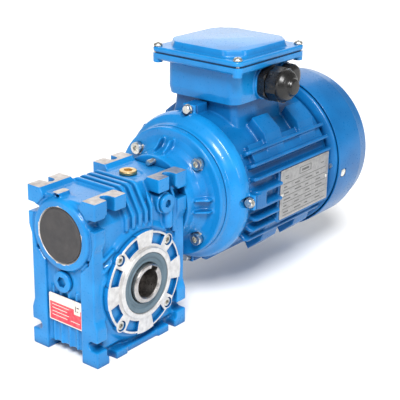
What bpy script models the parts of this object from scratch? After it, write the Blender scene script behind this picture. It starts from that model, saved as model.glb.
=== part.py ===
"""Worm gearmotor: a size 050 worm gearbox with a B14 electric motor flanged to it.

Metres, +Z up. The origin is on the foot plane, straight under the output bore.
X is the worm and motor axis, with the motor at +X. Y is the output axis, and -Y is the side
with the bolted cover. Each object is one separate piece of the machine.
"""
from math import atan, cos, pi, radians, sin, sqrt, tan

import bmesh
import bpy
from mathutils import Matrix, Vector

GAP = 0.0003                   # between pieces that touch

# Gearbox
HALF_X = 0.057
HALF_Y = 0.0383
HEIGHT = 0.1455
OUTPUT_Z = 0.060
CENTRE_DISTANCE = 0.050
WORM_Z = OUTPUT_Z + CENTRE_DISTANCE
PLATE = 0.012                  # thickness of the end plates and of the corner pads
PAD_LENGTH = 0.037             # of a corner pad along X, and of a corner lug along Z
PAD_DEPTH = 0.017              # of a corner pad along Y
SLOT_INSET = 0.019             # slot centre from the outer corner
SLOT_WIDTH = 0.0085
SLOT_BOTTOM_Y = 0.0318         # centre of the slot's round end
FLANK_Y = 0.0325
TOP_Z = 0.1415
RING_Y = 0.0405                # output faces
RING_R = 0.0462
PILOT_Y = 0.0430               # centring rims inside the output faces
PILOT_R = 0.0315
HUB_END_Y = 0.0445
CONE_TIP_Y = 0.0360
CHAMBER_R = 0.038
WORM_CHAMBER_R = 0.020
WORM_SEAT_R = 0.0238
WORM_SEAT_X = 0.0377
BOSS_X = 0.0585
SIDE_PLUG_Z = 0.1225
COVER_SCREW_CIRCLE = 0.042
FLANGE_SCREW_CIRCLE = 0.035

# Worm and wheel
MODULE = 0.00225
TEETH = 30
LEAD = pi * MODULE
WHEEL_PITCH_R = MODULE * TEETH / 2
WORM_PITCH_R = CENTRE_DISTANCE - WHEEL_PITCH_R
WORM_TIP_R = WORM_PITCH_R + MODULE
WORM_ROOT_R = WORM_PITCH_R - 1.2 * MODULE
THREAD_HALF_LENGTH = 0.0200
BACKLASH = 0.0006
ROOT_RELIEF = 0.0008
RIM_HALF_WIDTH = 0.011
RIM_EDGE_R = 0.0370
RIM_BORE_R = 0.0253

# Output shaft
BORE_R = 0.0125
HUB_R = 0.0175
KEYWAY = 0.008
KEYWAY_TOP = 0.0158
KEYWAY_TURN = radians(30)      # of the keyway, from straight up towards +X

# Flange between gearbox and motor
FLANGE_R = 0.060
FLANGE_X = 0.086
MOTOR_BOLT_CIRCLE = 0.050

# Motor
SHAFT_R = 0.0095
SHAFT_START_X = 0.046
BEARING_R = 0.0235
SHIELD_R = 0.0695
SHIELD_END_X = 0.108
SHIELD_LUG_X = 0.1055
SHIELD_BOLT_CIRCLE = 0.072
FRAME_START_X = SHIELD_END_X + GAP
FRAME_END_X = 0.238
FRAME_BORE_R = 0.0628
FRAME_R = 0.0675
FIN_R = 0.0765
STATOR_START_X = 0.128
STATOR_END_X = 0.217
FAN_COVER_R = 0.079
FAN_COVER_START_X = 0.243
FAN_COVER_END_X = 0.305
SHEET = 0.0016

# Terminal box
BOX_CENTRE_X = 0.163
BOX_HALF_X = 0.0425
BOX_HALF_Y = 0.041
BOX_FLOOR_Z = 0.1883
RIM_HALF_X = 0.052
RIM_HALF_Y = 0.0505
RIM_BOTTOM_Z = 0.220
RIM_TOP_Z = 0.2255
LID_SCREW_X = 0.0472
LID_SCREW_Y = 0.0455
LID_Z = 0.2269
LID_STEP_Z = 0.2315
LID_TOP_Z = 0.2375
GLAND_Z = 0.204
PLUG_X = 0.1925

FINISHES = {
    "enamel": ((0.030, 0.215, 0.640), 0.30, 0.0),
    "aluminium": ((0.72, 0.70, 0.67), 0.42, 1.0),
    "steel": ((0.62, 0.61, 0.60), 0.32, 1.0),
    "zinc": ((0.70, 0.69, 0.66), 0.35, 1.0),
    "brass": ((0.72, 0.50, 0.22), 0.35, 1.0),
    "bronze": ((0.60, 0.38, 0.17), 0.40, 1.0),
    "copper": ((0.66, 0.30, 0.14), 0.45, 1.0),
    "lamination": ((0.28, 0.28, 0.30), 0.55, 1.0),
    "rubber": ((0.075, 0.070, 0.070), 0.60, 0.0),
    "seal": ((0.080, 0.125, 0.160), 0.55, 0.0),
    "black_plastic": ((0.018, 0.018, 0.020), 0.30, 0.0),
    "board": ((0.10, 0.045, 0.025), 0.50, 0.0),
    "red_plate": ((0.66, 0.09, 0.10), 0.40, 0.0),
    "grey_plate": ((0.50, 0.48, 0.45), 0.45, 0.6),
}

TURN = {
    "+X": (0.0, pi / 2, 0.0),
    "-X": (0.0, -pi / 2, 0.0),
    "+Y": (-pi / 2, 0.0, 0.0),
    "-Y": (pi / 2, 0.0, 0.0),
    "+Z": (0.0, 0.0, 0.0),
}

for old in list(bpy.data.objects):
    bpy.data.objects.remove(old)
MODEL = bpy.data.collections.new("worm_gearmotor")
TOOLS = bpy.data.collections.new("shaping_tools")
for made in (MODEL, TOOLS):
    bpy.context.scene.collection.children.link(made)


# ---------------------------------------------------------------- helpers

def finish_material(node, finish):
    colour, roughness, metallic = FINISHES[finish]
    material = bpy.data.materials.new(node + "_" + finish)
    material.use_nodes = True
    shader = material.node_tree.nodes["Principled BSDF"]
    shader.inputs["Base Color"].default_value = (*colour, 1.0)
    shader.inputs["Roughness"].default_value = roughness
    shader.inputs["Metallic"].default_value = metallic
    return material


def place(name, mesh, finish, location=(0, 0, 0), turn="+Z", parent=None):
    """Link a mesh as a piece, or as a shaping tool when it has no finish."""
    thing = bpy.data.objects.new(name, mesh)
    thing.location = location
    thing.rotation_euler = TURN[turn]
    if finish is None:
        TOOLS.objects.link(thing)
        thing.display_type = "WIRE"
        thing.hide_render = True
    else:
        MODEL.objects.link(thing)
        mesh.materials.clear()
        mesh.materials.append(finish_material(name, finish))
    if parent is not None:
        thing.parent = parent
        thing.matrix_parent_inverse = Matrix.Translation(-parent.location)
    return thing


def mesh_from(bm, name):
    mesh = bpy.data.meshes.new(name)
    bmesh.ops.recalc_face_normals(bm, faces=bm.faces[:])
    bm.to_mesh(mesh)
    bm.free()
    return mesh


def boxes(name, ranges, finish=None, parent=None):
    """One mesh of boxes, each given as ((x0, x1), (y0, y1), (z0, z1))."""
    bm = bmesh.new()
    for spans in ranges:
        middle = Vector([(low + high) / 2 for low, high in spans])
        size = Vector([high - low for low, high in spans])
        matrix = Matrix.Translation(middle) @ Matrix.Diagonal(size).to_4x4()
        bmesh.ops.create_cube(bm, size=1.0, matrix=matrix)
    return place(name, mesh_from(bm, name), finish, parent=parent)


def turned(name, profile, finish=None, location=(0, 0, 0), turn="+Z", steps=32, parent=None):
    """A turned solid from (radius, height) points that run down its outer side.

    A profile that begins and ends on the axis is solid; any other is a ring and is closed.
    """
    mesh = bpy.data.meshes.new(name)
    count = len(profile)
    edges = [(i, i + 1) for i in range(count - 1)]
    if profile[0][0] > 0:
        edges.append((count - 1, 0))
    mesh.from_pydata([(radius, 0, height) for radius, height in profile], edges, [])
    thing = place(name, mesh, finish, location, turn, parent)
    sweep = thing.modifiers.new("Turn", "SCREW")
    sweep.angle = 2 * pi
    sweep.steps = steps
    sweep.render_steps = steps
    sweep.use_merge_vertices = True
    sweep.merge_threshold = 0.00001
    return thing


def rod(name, radius, start, end, location, turn, finish=None, steps=16, tip_radius=None):
    """A cylinder, or a cone, along the turned direction from start to end."""
    tip = radius if tip_radius is None else tip_radius
    bm = bmesh.new()
    bmesh.ops.create_cone(bm, cap_ends=True, segments=steps, radius1=radius, radius2=tip,
                          depth=end - start, matrix=Matrix.Translation((0, 0, (start + end) / 2)))
    return place(name, mesh_from(bm, name), finish, location, turn)


def shape(target, operation, tools):
    """One Boolean step with a group of tools, so that no rounding builds up between them."""
    group = bpy.data.collections.new(f"{target.name}_{operation.lower()}_{len(target.modifiers)}")
    TOOLS.children.link(group)
    for tool in tools:
        TOOLS.objects.unlink(tool)
        group.objects.link(tool)
    step = target.modifiers.new(operation.title(), "BOOLEAN")
    step.operation = operation
    step.operand_type = "COLLECTION"
    step.collection = group
    step.solver = "EXACT"


def cut(target, *tools):
    shape(target, "DIFFERENCE", tools)


def join(target, *tools):
    shape(target, "UNION", tools)


def merge_flats(target):
    """Join the coplanar slivers that the Boolean steps leave."""
    step = target.modifiers.new("Merge flats", "DECIMATE")
    step.decimate_type = "DISSOLVE"
    step.angle_limit = radians(0.2)


def polar(radius, angle):
    return radius * cos(angle), radius * sin(angle)


def corner_angles(count=4, first=pi / 4):
    return [first + 2 * pi * k / count for k in range(count)]


def screw(name, location, turn, head_r, head_h, shank_r, length, finish="zinc", steps=8):
    """A screw whose head stands on the seat and whose shank runs behind it."""
    profile = [(0, head_h), (head_r, head_h), (head_r, 0), (shank_r, 0), (shank_r, -length),
               (0, -length)]
    return turned(name, profile, finish, location, turn, steps)


def empty(name, location):
    thing = bpy.data.objects.new(name, None)
    thing.location = location
    MODEL.objects.link(thing)
    return thing


def rounded_outline(half_x, half_y, corner, arc_steps):
    points = []
    for quarter in range(4):
        sign_x = 1 if quarter in (0, 3) else -1
        sign_y = 1 if quarter < 2 else -1
        for step in range(arc_steps + 1):
            angle = pi / 2 * (quarter + step / arc_steps)
            dx, dy = polar(corner, angle)
            points.append((sign_x * (half_x - corner) + dx, sign_y * (half_y - corner) + dy))
    return points


def slab(name, outline, bottom, top, finish=None, location=(0, 0, 0), turn="+Z"):
    """An outline in local X and Y, filled and drawn out from bottom to top."""
    bm = bmesh.new()
    ring = [bm.verts.new((x, y, bottom)) for x, y in outline]
    base = bm.faces.new(ring)
    drawn = bmesh.ops.extrude_face_region(bm, geom=[base], use_keep_orig=True)
    upper = [item for item in drawn["geom"] if isinstance(item, bmesh.types.BMVert)]
    bmesh.ops.translate(bm, verts=upper, vec=(0, 0, top - bottom))
    return place(name, mesh_from(bm, name), finish, location, turn)


ROTOR = empty("rotor_axis", (0, 0, WORM_Z))
OUTPUT = empty("output_axis", (0, 0, OUTPUT_Z))
WORM_AXIS = (0, 0, WORM_Z)
OUTPUT_AXIS = (0, 0, OUTPUT_Z)


# ---------------------------------------------------------------- gear housing

def corner_slots():
    """U-slots through the end plates, along X, and through the corner pads, along Z."""
    tools = []
    inside = SLOT_WIDTH / 2
    past = HALF_Y + 0.002
    for side in (-1, 1):
        low_y, high_y = sorted((side * SLOT_BOTTOM_Y, side * past))
        for end in (-1, 1):
            outer = end * (HALF_X + 0.002)
            inner = end * (HALF_X - PLATE - 0.0005)
            for z in (SLOT_INSET, HEIGHT - SLOT_INSET):
                spans = (tuple(sorted((outer, inner))), (low_y, high_y), (z - inside, z + inside))
                name = f"plate_slot_{side}_{end}_{z:.3f}"
                tools.append(boxes(name, [spans]))
                tools.append(rod(name + "_end", inside, *sorted((outer, inner)),
                                 (0, side * SLOT_BOTTOM_Y, z), "+X", steps=8))
            x = end * (HALF_X - SLOT_INSET)
            for bottom in (-0.002, HEIGHT - PLATE - 0.0005):
                top = bottom + PLATE + 0.0025
                spans = ((x - inside, x + inside), (low_y, high_y), (bottom, top))
                name = f"pad_slot_{side}_{end}_{bottom:.3f}"
                tools.append(boxes(name, [spans]))
                tools.append(rod(name + "_end", inside, bottom, top,
                                 (x, side * SLOT_BOTTOM_Y, 0), "+Z", steps=8))
    return tools


def gear_housing():
    housing = boxes("gear_housing", [((-HALF_X, HALF_X), (-HALF_Y, HALF_Y), (0, HEIGHT))], "enamel")
    middle = HALF_X - PAD_LENGTH
    inner_x = HALF_X - PLATE
    pad_y = HALF_Y - PAD_DEPTH
    beyond = 0.002
    waist = (PAD_LENGTH + 0.003, HEIGHT - PAD_LENGTH - 0.003)
    hollows = [
        boxes("top_recess", [((-HALF_X - beyond, HALF_X + beyond), (-pad_y, pad_y),
                              (TOP_Z, HEIGHT + beyond))]),
        boxes("top_middle", [((-middle, middle), (-HALF_Y, HALF_Y), (TOP_Z, HEIGHT + 2 * beyond))]),
        boxes("front_recess", [((-HALF_X - beyond, -0.0535), (-0.0200, 0.0200), (-beyond, 0.0800))]),
        boxes("foot_arch", [((-HALF_X - beyond, -0.0080), (-0.0200, 0.0200), (-2 * beyond, 0.0080)),
                            ((0.0080, HALF_X + beyond), (-0.0200, 0.0200), (-2 * beyond, 0.0080))])]
    for side in (-1, 1):
        flank = tuple(sorted((side * FLANK_Y, side * (HALF_Y + beyond))))
        edge = tuple(sorted((side * (CONE_TIP_Y - GAP), side * (HALF_Y + 2 * beyond))))
        hollows.append(boxes(f"flank_{side}", [
            ((-inner_x, inner_x), flank, (PLATE, HEIGHT - PLATE))]))
        hollows.append(boxes(f"between_pads_{side}", [
            ((-middle, middle), flank, (-beyond, HEIGHT + beyond))]))
        hollows.append(boxes(f"plate_waist_{side}", [
            ((end * HALF_X - PLATE - beyond, end * HALF_X + PLATE + beyond), edge, waist)
            for end in (-1, 1)]))
        shoulder = boxes(f"shoulder_{side}", [((-middle, middle), (-0.020, 0.020), (0, 0.020))])
        shoulder.location = (0, side * (FLANK_Y - 0.006), TOP_Z - 0.006)
        shoulder.rotation_euler = (-side * pi / 4, 0, 0)
        hollows.append(shoulder)
    cut(housing, *hollows)
    fins = [((x - 0.0014, x + 0.0014), (-0.0300, 0.0300), (0.1320, TOP_Z + 0.0025))
            for x in (-0.0165, -0.0085, -0.0005, 0.0075)]
    cones = [rod(f"output_cone_{turn}", 0.0560, FLANK_Y - 0.001, CONE_TIP_Y, OUTPUT_AXIS, turn,
                 steps=28, tip_radius=0.0480) for turn in ("-Y", "+Y")]
    join(housing, *cones, boxes("top_fins", fins),
         turned("far_output_boss", [
             (0, PILOT_Y), (PILOT_R, PILOT_Y), (PILOT_R, RING_Y), (RING_R, RING_Y),
             (RING_R, CONE_TIP_Y - 0.001), (0, CONE_TIP_Y - 0.001)],
             location=OUTPUT_AXIS, turn="+Y", steps=28),
         rod("worm_boss", 0.0310, HALF_X - 0.006, BOSS_X, WORM_AXIS, "-X", steps=24),
         rod("front_plug_boss", 0.0095, 0.045, 0.0545, (0, 0, 0.0685), "-X", steps=14),
         rod("side_plug_boss", 0.0110, 0.030, 0.0365, (0.030, 0, SIDE_PLUG_Z), "-Y", steps=14),
         rod("top_plug_land", 0.0110, 0.135, TOP_Z + 0.0005, (0.024, 0, 0), "+Z", steps=14))
    # the wheel chamber, open to the near side, and the far bearing and seal seats
    chamber = turned("wheel_chamber", [
        (0, 0.0500), (0.0271, 0.0500), (0.0271, 0.0355), (0.0240, 0.0355), (0.0240, 0.0340),
        (0.0278, 0.0340), (0.0278, 0.0240), (CHAMBER_R, 0.0240), (CHAMBER_R, -0.0450),
        (0, -0.0450)], location=OUTPUT_AXIS, turn="+Y", steps=28)
    worm_way = turned("worm_way", [
        (0, 0.0650), (WORM_SEAT_R, 0.0650), (WORM_SEAT_R, WORM_SEAT_X),
        (WORM_CHAMBER_R, WORM_SEAT_X), (WORM_CHAMBER_R, -WORM_SEAT_X),
        (WORM_SEAT_R, -WORM_SEAT_X), (WORM_SEAT_R, -0.0520), (0.0253, -0.0520),
        (0.0253, -0.0540), (WORM_SEAT_R, -0.0540), (WORM_SEAT_R, -0.0650), (0, -0.0650)],
        location=WORM_AXIS, turn="+X", steps=24)
    holes = [rod("front_plug_hole", 0.0053, 0.030, 0.060, (0, 0, 0.0685), "-X", steps=12),
             rod("side_plug_hole", 0.0053, 0.010, 0.040, (0.030, 0, SIDE_PLUG_Z), "-Y", steps=12),
             rod("top_plug_hole", 0.0053, 0.120, 0.145, (0.024, 0, 0), "+Z", steps=12)]
    for number, angle in enumerate(corner_angles()):
        x, z = polar(COVER_SCREW_CIRCLE, angle)
        holes.append(rod(f"cover_thread_{number}", 0.0028, 0.024, 0.045, (x, 0, OUTPUT_Z + z), "-Y",
                         steps=8))
    for number, angle in enumerate(corner_angles(4, 0)):
        y, z = polar(FLANGE_SCREW_CIRCLE, angle)
        holes.append(rod(f"flange_thread_{number}", 0.0028, 0.047, 0.062, (0, y, WORM_Z + z), "+X",
                         steps=8))
    cut(housing, chamber, worm_way, *holes, *corner_slots())
    merge_flats(housing)
    return housing


# ---------------------------------------------------------------- output side

def output_cover():
    cover = turned("output_cover", [
        (PILOT_R, PILOT_Y), (PILOT_R, RING_Y), (RING_R, RING_Y), (RING_R, CONE_TIP_Y + GAP),
        (CHAMBER_R - GAP, CONE_TIP_Y + GAP), (CHAMBER_R - GAP, 0.0240), (0.0278, 0.0240),
        (0.0278, 0.0340), (0.0240, 0.0340), (0.0240, 0.0355), (0.0271, 0.0355),
        (0.0271, PILOT_Y)],
        "aluminium", OUTPUT_AXIS, "-Y", steps=28)
    lugs = []
    holes = []
    for number, angle in enumerate(corner_angles()):
        x, z = polar(COVER_SCREW_CIRCLE, angle)
        centre = (x, 0, OUTPUT_Z + z)
        lugs.append(rod(f"cover_lug_{number}", 0.0058, CONE_TIP_Y + GAP, RING_Y, centre, "-Y",
                        steps=12))
        holes.append(rod(f"cover_counterbore_{number}", 0.0045, 0.0380, 0.0460, centre, "-Y",
                         steps=10))
        holes.append(rod(f"cover_hole_{number}", 0.0028, 0.0340, 0.0460, centre, "-Y", steps=8))
        screw(f"cover_screw_{number + 1}", (x, -0.0383, OUTPUT_Z + z), "-Y", 0.0040, 0.0020,
              0.0025, 0.0130)
    for number, angle in enumerate(corner_angles(8, radians(22.5))):
        x, z = polar(0.0385, angle)
        pocket = boxes(f"cover_pocket_{number}", [((-0.0035, 0.0035), (-0.0028, 0.0028),
                                                   (-0.0060, 0.0060))])
        pocket.location = (x, -RING_Y, OUTPUT_Z + z)
        pocket.rotation_euler = (0, -angle, 0)
        holes.append(pocket)
    join(cover, *lugs)
    cut(cover, *holes)
    merge_flats(cover)
    return cover


def output_parts():
    for name, turn in (("near", "-Y"), ("far", "+Y")):
        turned(f"output_seal_{name}", [
            (0.0268, 0.0422), (0.0268, 0.0358), (0.0178, 0.0358), (0.0178, 0.0405),
            (0.0210, 0.0422)], "seal", OUTPUT_AXIS, turn, steps=24)
        turned(f"output_bearing_{name}", [
            (0.0275, 0.0337), (0.0275, 0.0243), (0.0175, 0.0243), (0.0175, 0.0337)],
            "steel", OUTPUT_AXIS, turn, steps=20)
    shaft = turned("output_shaft", [
        (HUB_R - GAP, HUB_END_Y), (HUB_R - GAP, 0.0240), (0.0250, 0.0240), (0.0250, -0.0240),
        (HUB_R - GAP, -0.0240), (HUB_R - GAP, -HUB_END_Y), (BORE_R, -HUB_END_Y),
        (BORE_R, HUB_END_Y)], "steel", OUTPUT_AXIS, "-Y", steps=32, parent=OUTPUT)
    keyway = boxes("output_keyway", [((-KEYWAY / 2, KEYWAY / 2), (-0.050, 0.050),
                                      (0.0, KEYWAY_TOP))])
    keyway.location = OUTPUT_AXIS
    keyway.rotation_euler = (0, KEYWAY_TURN, 0)
    cut(shaft, keyway)


def wheel_slice(y):
    """Outline of the throated wheel at one distance from its middle plane, as (x, z)."""
    tip = min(RIM_EDGE_R, CENTRE_DISTANCE - sqrt((WORM_ROOT_R + 0.0005) ** 2 - y * y))
    root = CENTRE_DISTANCE - sqrt((WORM_TIP_R + 0.0006) ** 2 - y * y) - ROOT_RELIEF
    half = pi * MODULE / 4 - BACKLASH / 2
    lean = LEAD / (2 * pi) * atan(y / WORM_PITCH_R) / WHEEL_PITCH_R
    half_root = half + 0.0004
    half_tip = half - (tip - WHEEL_PITCH_R) * tan(radians(20)) - 0.0001
    points = []
    for tooth in range(TEETH):
        middle = 2 * pi * tooth / TEETH + lean
        for radius, offset in ((root, -half_root), (tip, -half_tip), (tip, half_tip),
                               (root, half_root)):
            angle = middle + offset / radius
            points.append((radius * sin(angle), radius * cos(angle)))
    return points


def wheel_rim():
    """The bronze rim is a loft through slices, because its teeth wrap round the worm."""
    bm = bmesh.new()
    rings = []
    slices = 3
    for index in range(slices):
        y = RIM_HALF_WIDTH * (2 * index / (slices - 1) - 1)
        rings.append([bm.verts.new((x, y, z)) for x, z in wheel_slice(y)])
    for lower, upper in zip(rings, rings[1:]):
        for k, corner in enumerate(lower):
            following = (k + 1) % len(lower)
            bm.faces.new((corner, lower[following], upper[following], upper[k]))
    bm.faces.new(rings[0])
    bm.faces.new(list(reversed(rings[-1])))
    rim = place("wheel_rim", mesh_from(bm, "wheel_rim"), "bronze", OUTPUT_AXIS, parent=OUTPUT)
    cut(rim, rod("wheel_rim_bore", RIM_BORE_R, -0.02, 0.02, OUTPUT_AXIS, "+Y", steps=30))
    return rim


# ---------------------------------------------------------------- worm line

def worm_thread():
    """One right-handed trapezium thread, swept round the worm's core."""
    half = pi * MODULE / 4 - BACKLASH / 2
    slope = tan(radians(20))
    foot_r = WORM_ROOT_R - 0.0010
    section = [(foot_r, half + slope * (WORM_PITCH_R - foot_r)), (WORM_TIP_R, half - slope * MODULE)]
    section += [(radius, -along) for radius, along in reversed(section)]
    steps_per_turn = 12
    turns = 2 * THREAD_HALF_LENGTH / LEAD
    steps = int(turns * steps_per_turn)
    bm = bmesh.new()
    rings = []
    for step in range(steps + 1):
        # the thread's middle passes half a pitch from x = 0 at the wheel's side, angle -90
        turn = 2 * pi * (step - steps // 2) / steps_per_turn
        middle = LEAD * turn / (2 * pi) + LEAD / 2
        angle = turn - pi / 2
        rings.append([bm.verts.new((middle + along, radius * cos(angle), radius * sin(angle)))
                      for radius, along in section])
    for before, after in zip(rings, rings[1:]):
        for k, corner in enumerate(before):
            following = (k + 1) % len(before)
            bm.faces.new((corner, before[following], after[following], after[k]))
    bm.faces.new(rings[0])
    bm.faces.new(list(reversed(rings[-1])))
    return place("worm_thread", mesh_from(bm, "worm_thread"), None, WORM_AXIS)


def worm_parts():
    core = turned("worm_shaft", [
        (0.0147, 0.0650), (0.0147, 0.0377), (0.0170, 0.0370), (0.0170, 0.0330),
        (WORM_ROOT_R, 0.0310), (WORM_ROOT_R, -0.0310), (0.0125, -0.0330), (0.0125, -0.0374),
        (0.0097, -0.0374), (0.0097, -0.0520), (0.0030, -0.0520), (0.0030, 0.0430),
        (SHAFT_R + GAP, 0.0430), (SHAFT_R + GAP, 0.0650)],
        "steel", WORM_AXIS, "+X", steps=24, parent=ROTOR)
    join(core, worm_thread())
    cut(core, boxes("worm_keyway", [((0.0445, 0.0700), (-0.0030, 0.0030),
                                     (WORM_Z, WORM_Z + 0.0125))]))
    merge_flats(core)
    turned("worm_bearing_front", [
        (BEARING_R, -0.0380), (BEARING_R, -0.0515), (0.0100, -0.0515), (0.0100, -0.0380)],
        "steel", WORM_AXIS, "+X", steps=20)
    turned("worm_bearing_rear", [
        (BEARING_R, 0.0470), (BEARING_R, 0.0380), (0.0150, 0.0380), (0.0150, 0.0470)],
        "steel", WORM_AXIS, "+X", steps=20)
    turned("worm_circlip", [
        (0.0250, -0.0523), (0.0250, -0.0537), (0.0205, -0.0537), (0.0205, -0.0523)],
        "steel", WORM_AXIS, "+X", steps=20)
    turned("worm_cap", [
        (0, 0.0593), (0.0225, 0.0593), (BEARING_R, 0.0583), (BEARING_R, 0.0545),
        (0.0215, 0.0545), (0.0215, 0.0573), (0, 0.0573)], "rubber", WORM_AXIS, "-X", steps=28)
    turned("input_seal", [
        (BEARING_R, 0.0543), (BEARING_R, 0.0473), (0.0150, 0.0473), (0.0150, 0.0543)],
        "seal", WORM_AXIS, "+X", steps=20)


def plugs_and_plate():
    turned("front_plug", [
        (0, 0.0010), (0.0035, 0.0010), (0.0035, 0.0042), (0.0075, 0.0042), (0.0082, 0.0034),
        (0.0082, 0), (0.0050, 0), (0.0050, -0.010), (0, -0.010)],
        "enamel", (-0.0548, 0, 0.0685), "-X", steps=12)
    turned("filler_plug", [
        (0, 0.0010), (0.0036, 0.0010), (0.0036, 0.0032), (0.0080, 0.0032), (0.0085, 0.0025),
        (0.0085, 0), (0.0050, 0), (0.0050, -0.009), (0, -0.009)],
        "brass", (0.024, 0, TOP_Z + 0.0008), "+Z", steps=12)
    turned("side_plug", [
        (0, 0.0050), (0.0066, 0.0050), (0.0072, 0.0042), (0.0072, 0.0018), (0.0085, 0.0014),
        (0.0085, 0), (0.0050, 0), (0.0050, -0.009), (0, -0.009)],
        "enamel", (0.030, -0.0368, SIDE_PLUG_Z), "-Y", steps=12)
    boxes("gear_nameplate", [((-0.0546, -0.0538), (-0.0190, 0.0190), (0.0285, 0.0535))], "red_plate")


# ---------------------------------------------------------------- input flange

def input_flange():
    flange = turned("input_flange", [
        (FLANGE_R, FLANGE_X), (FLANGE_R, 0.0785), (0.0445, 0.0770), (0.0410, 0.0690),
        (0.0410, HALF_X + GAP), (BEARING_R, HALF_X + GAP), (BEARING_R, 0.0546), (0.0160, 0.0546),
        (0.0160, 0.0640), (0.0330, 0.0700), (0.0400, 0.0800), (0.0400, FLANGE_X)],
        "enamel", WORM_AXIS, "+X", steps=32)
    holes = []
    for number, angle in enumerate(corner_angles(4, 0)):
        y, z = polar(FLANGE_SCREW_CIRCLE, angle)
        centre = (0, y, WORM_Z + z)
        holes.append(rod(f"flange_screw_way_{number}", 0.0050, 0.0650, 0.0900, centre, "+X",
                         steps=10))
        holes.append(rod(f"flange_screw_hole_{number}", 0.0028, 0.0500, 0.0900, centre, "+X",
                         steps=8))
        screw(f"flange_screw_{number + 1}", (0.0653, y, WORM_Z + z), "+X", 0.0042, 0.0042,
              0.0025, 0.0160)
    for number, angle in enumerate(corner_angles()):
        y, z = polar(MOTOR_BOLT_CIRCLE, angle)
        centre = (0, y, WORM_Z + z)
        holes.append(rod(f"bolt_seat_{number}", 0.0062, 0.0700, 0.0775, centre, "+X", steps=12))
        holes.append(rod(f"bolt_hole_{number}", 0.0033, 0.0700, 0.0900, centre, "+X", steps=8))
        screw(f"motor_bolt_{number + 1}", (0.0772, y, WORM_Z + z), "-X", 0.0052, 0.0050,
              0.0030, 0.0190)
    cut(flange, *holes)
    merge_flats(flange)
    return flange


# ---------------------------------------------------------------- motor

def shield_lugs(prefix, start, end):
    tools = []
    for number, angle in enumerate(corner_angles(4, 0)):
        y, z = polar(SHIELD_BOLT_CIRCLE - 0.002, angle)
        spans = ((start, end), (y - 0.0070, y + 0.0070), (WORM_Z + z - 0.0070, WORM_Z + z + 0.0070))
        tools.append(boxes(f"{prefix}_{number}", [spans]))
    return tools


def drive_end_shield():
    shield = turned("drive_end_shield", [
        (SHIELD_R, SHIELD_END_X), (SHIELD_R, 0.1010), (0.0665, 0.0970), (FLANGE_R, 0.0925),
        (FLANGE_R, FLANGE_X + GAP), (0.0120, FLANGE_X + GAP), (0.0120, 0.0957),
        (BEARING_R + GAP, 0.0957), (BEARING_R + GAP, SHIELD_END_X), (0.0280, SHIELD_END_X),
        (0.0280, 0.0995), (0.0580, 0.0995), (0.0640, 0.1040), (0.0640, SHIELD_END_X)],
        "enamel", WORM_AXIS, "+X", steps=28)
    holes = []
    for number, angle in enumerate(corner_angles(4, 0)):
        y, z = polar(SHIELD_BOLT_CIRCLE, angle)
        centre = (0, y, WORM_Z + z)
        holes.append(rod(f"shield_bolt_seat_{number}", 0.0056, 0.0900, SHIELD_LUG_X, centre, "+X",
                         steps=10))
        holes.append(rod(f"shield_bolt_hole_{number}", 0.0033, 0.0900, 0.1120, centre, "+X",
                         steps=8))
        screw(f"shield_bolt_{number + 1}", (SHIELD_LUG_X - GAP, y, WORM_Z + z), "-X", 0.0046,
              0.0042, 0.0030, 0.0180)
    for number, angle in enumerate(corner_angles()):
        y, z = polar(MOTOR_BOLT_CIRCLE, angle)
        holes.append(rod(f"shield_thread_{number}", 0.0033, 0.0800, 0.0970,
                         (0, y, WORM_Z + z), "+X", steps=8))
    join(shield, *shield_lugs("shield_lug", SHIELD_LUG_X, SHIELD_END_X))
    cut(shield, *holes)
    merge_flats(shield)
    return shield


def fin_angles():
    """Fins all round the frame, but not under the terminal box or behind the nameplate."""
    angles = []
    for step in range(40):
        angle = 2 * pi * step / 40
        up = degrees_between(angle, pi / 2)
        near = degrees_between(angle, pi)
        lug = min(degrees_between(angle, quarter * pi / 2) for quarter in range(4))
        diagonal = min(degrees_between(angle, pi / 4 + quarter * pi / 2) for quarter in range(4))
        if up > 32 and near > 22 and lug > 8 and diagonal > 8:
            angles.append(angle)
    return angles


def degrees_between(one, other):
    turn = (one - other + pi) % (2 * pi) - pi
    return abs(turn) * 180 / pi


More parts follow.
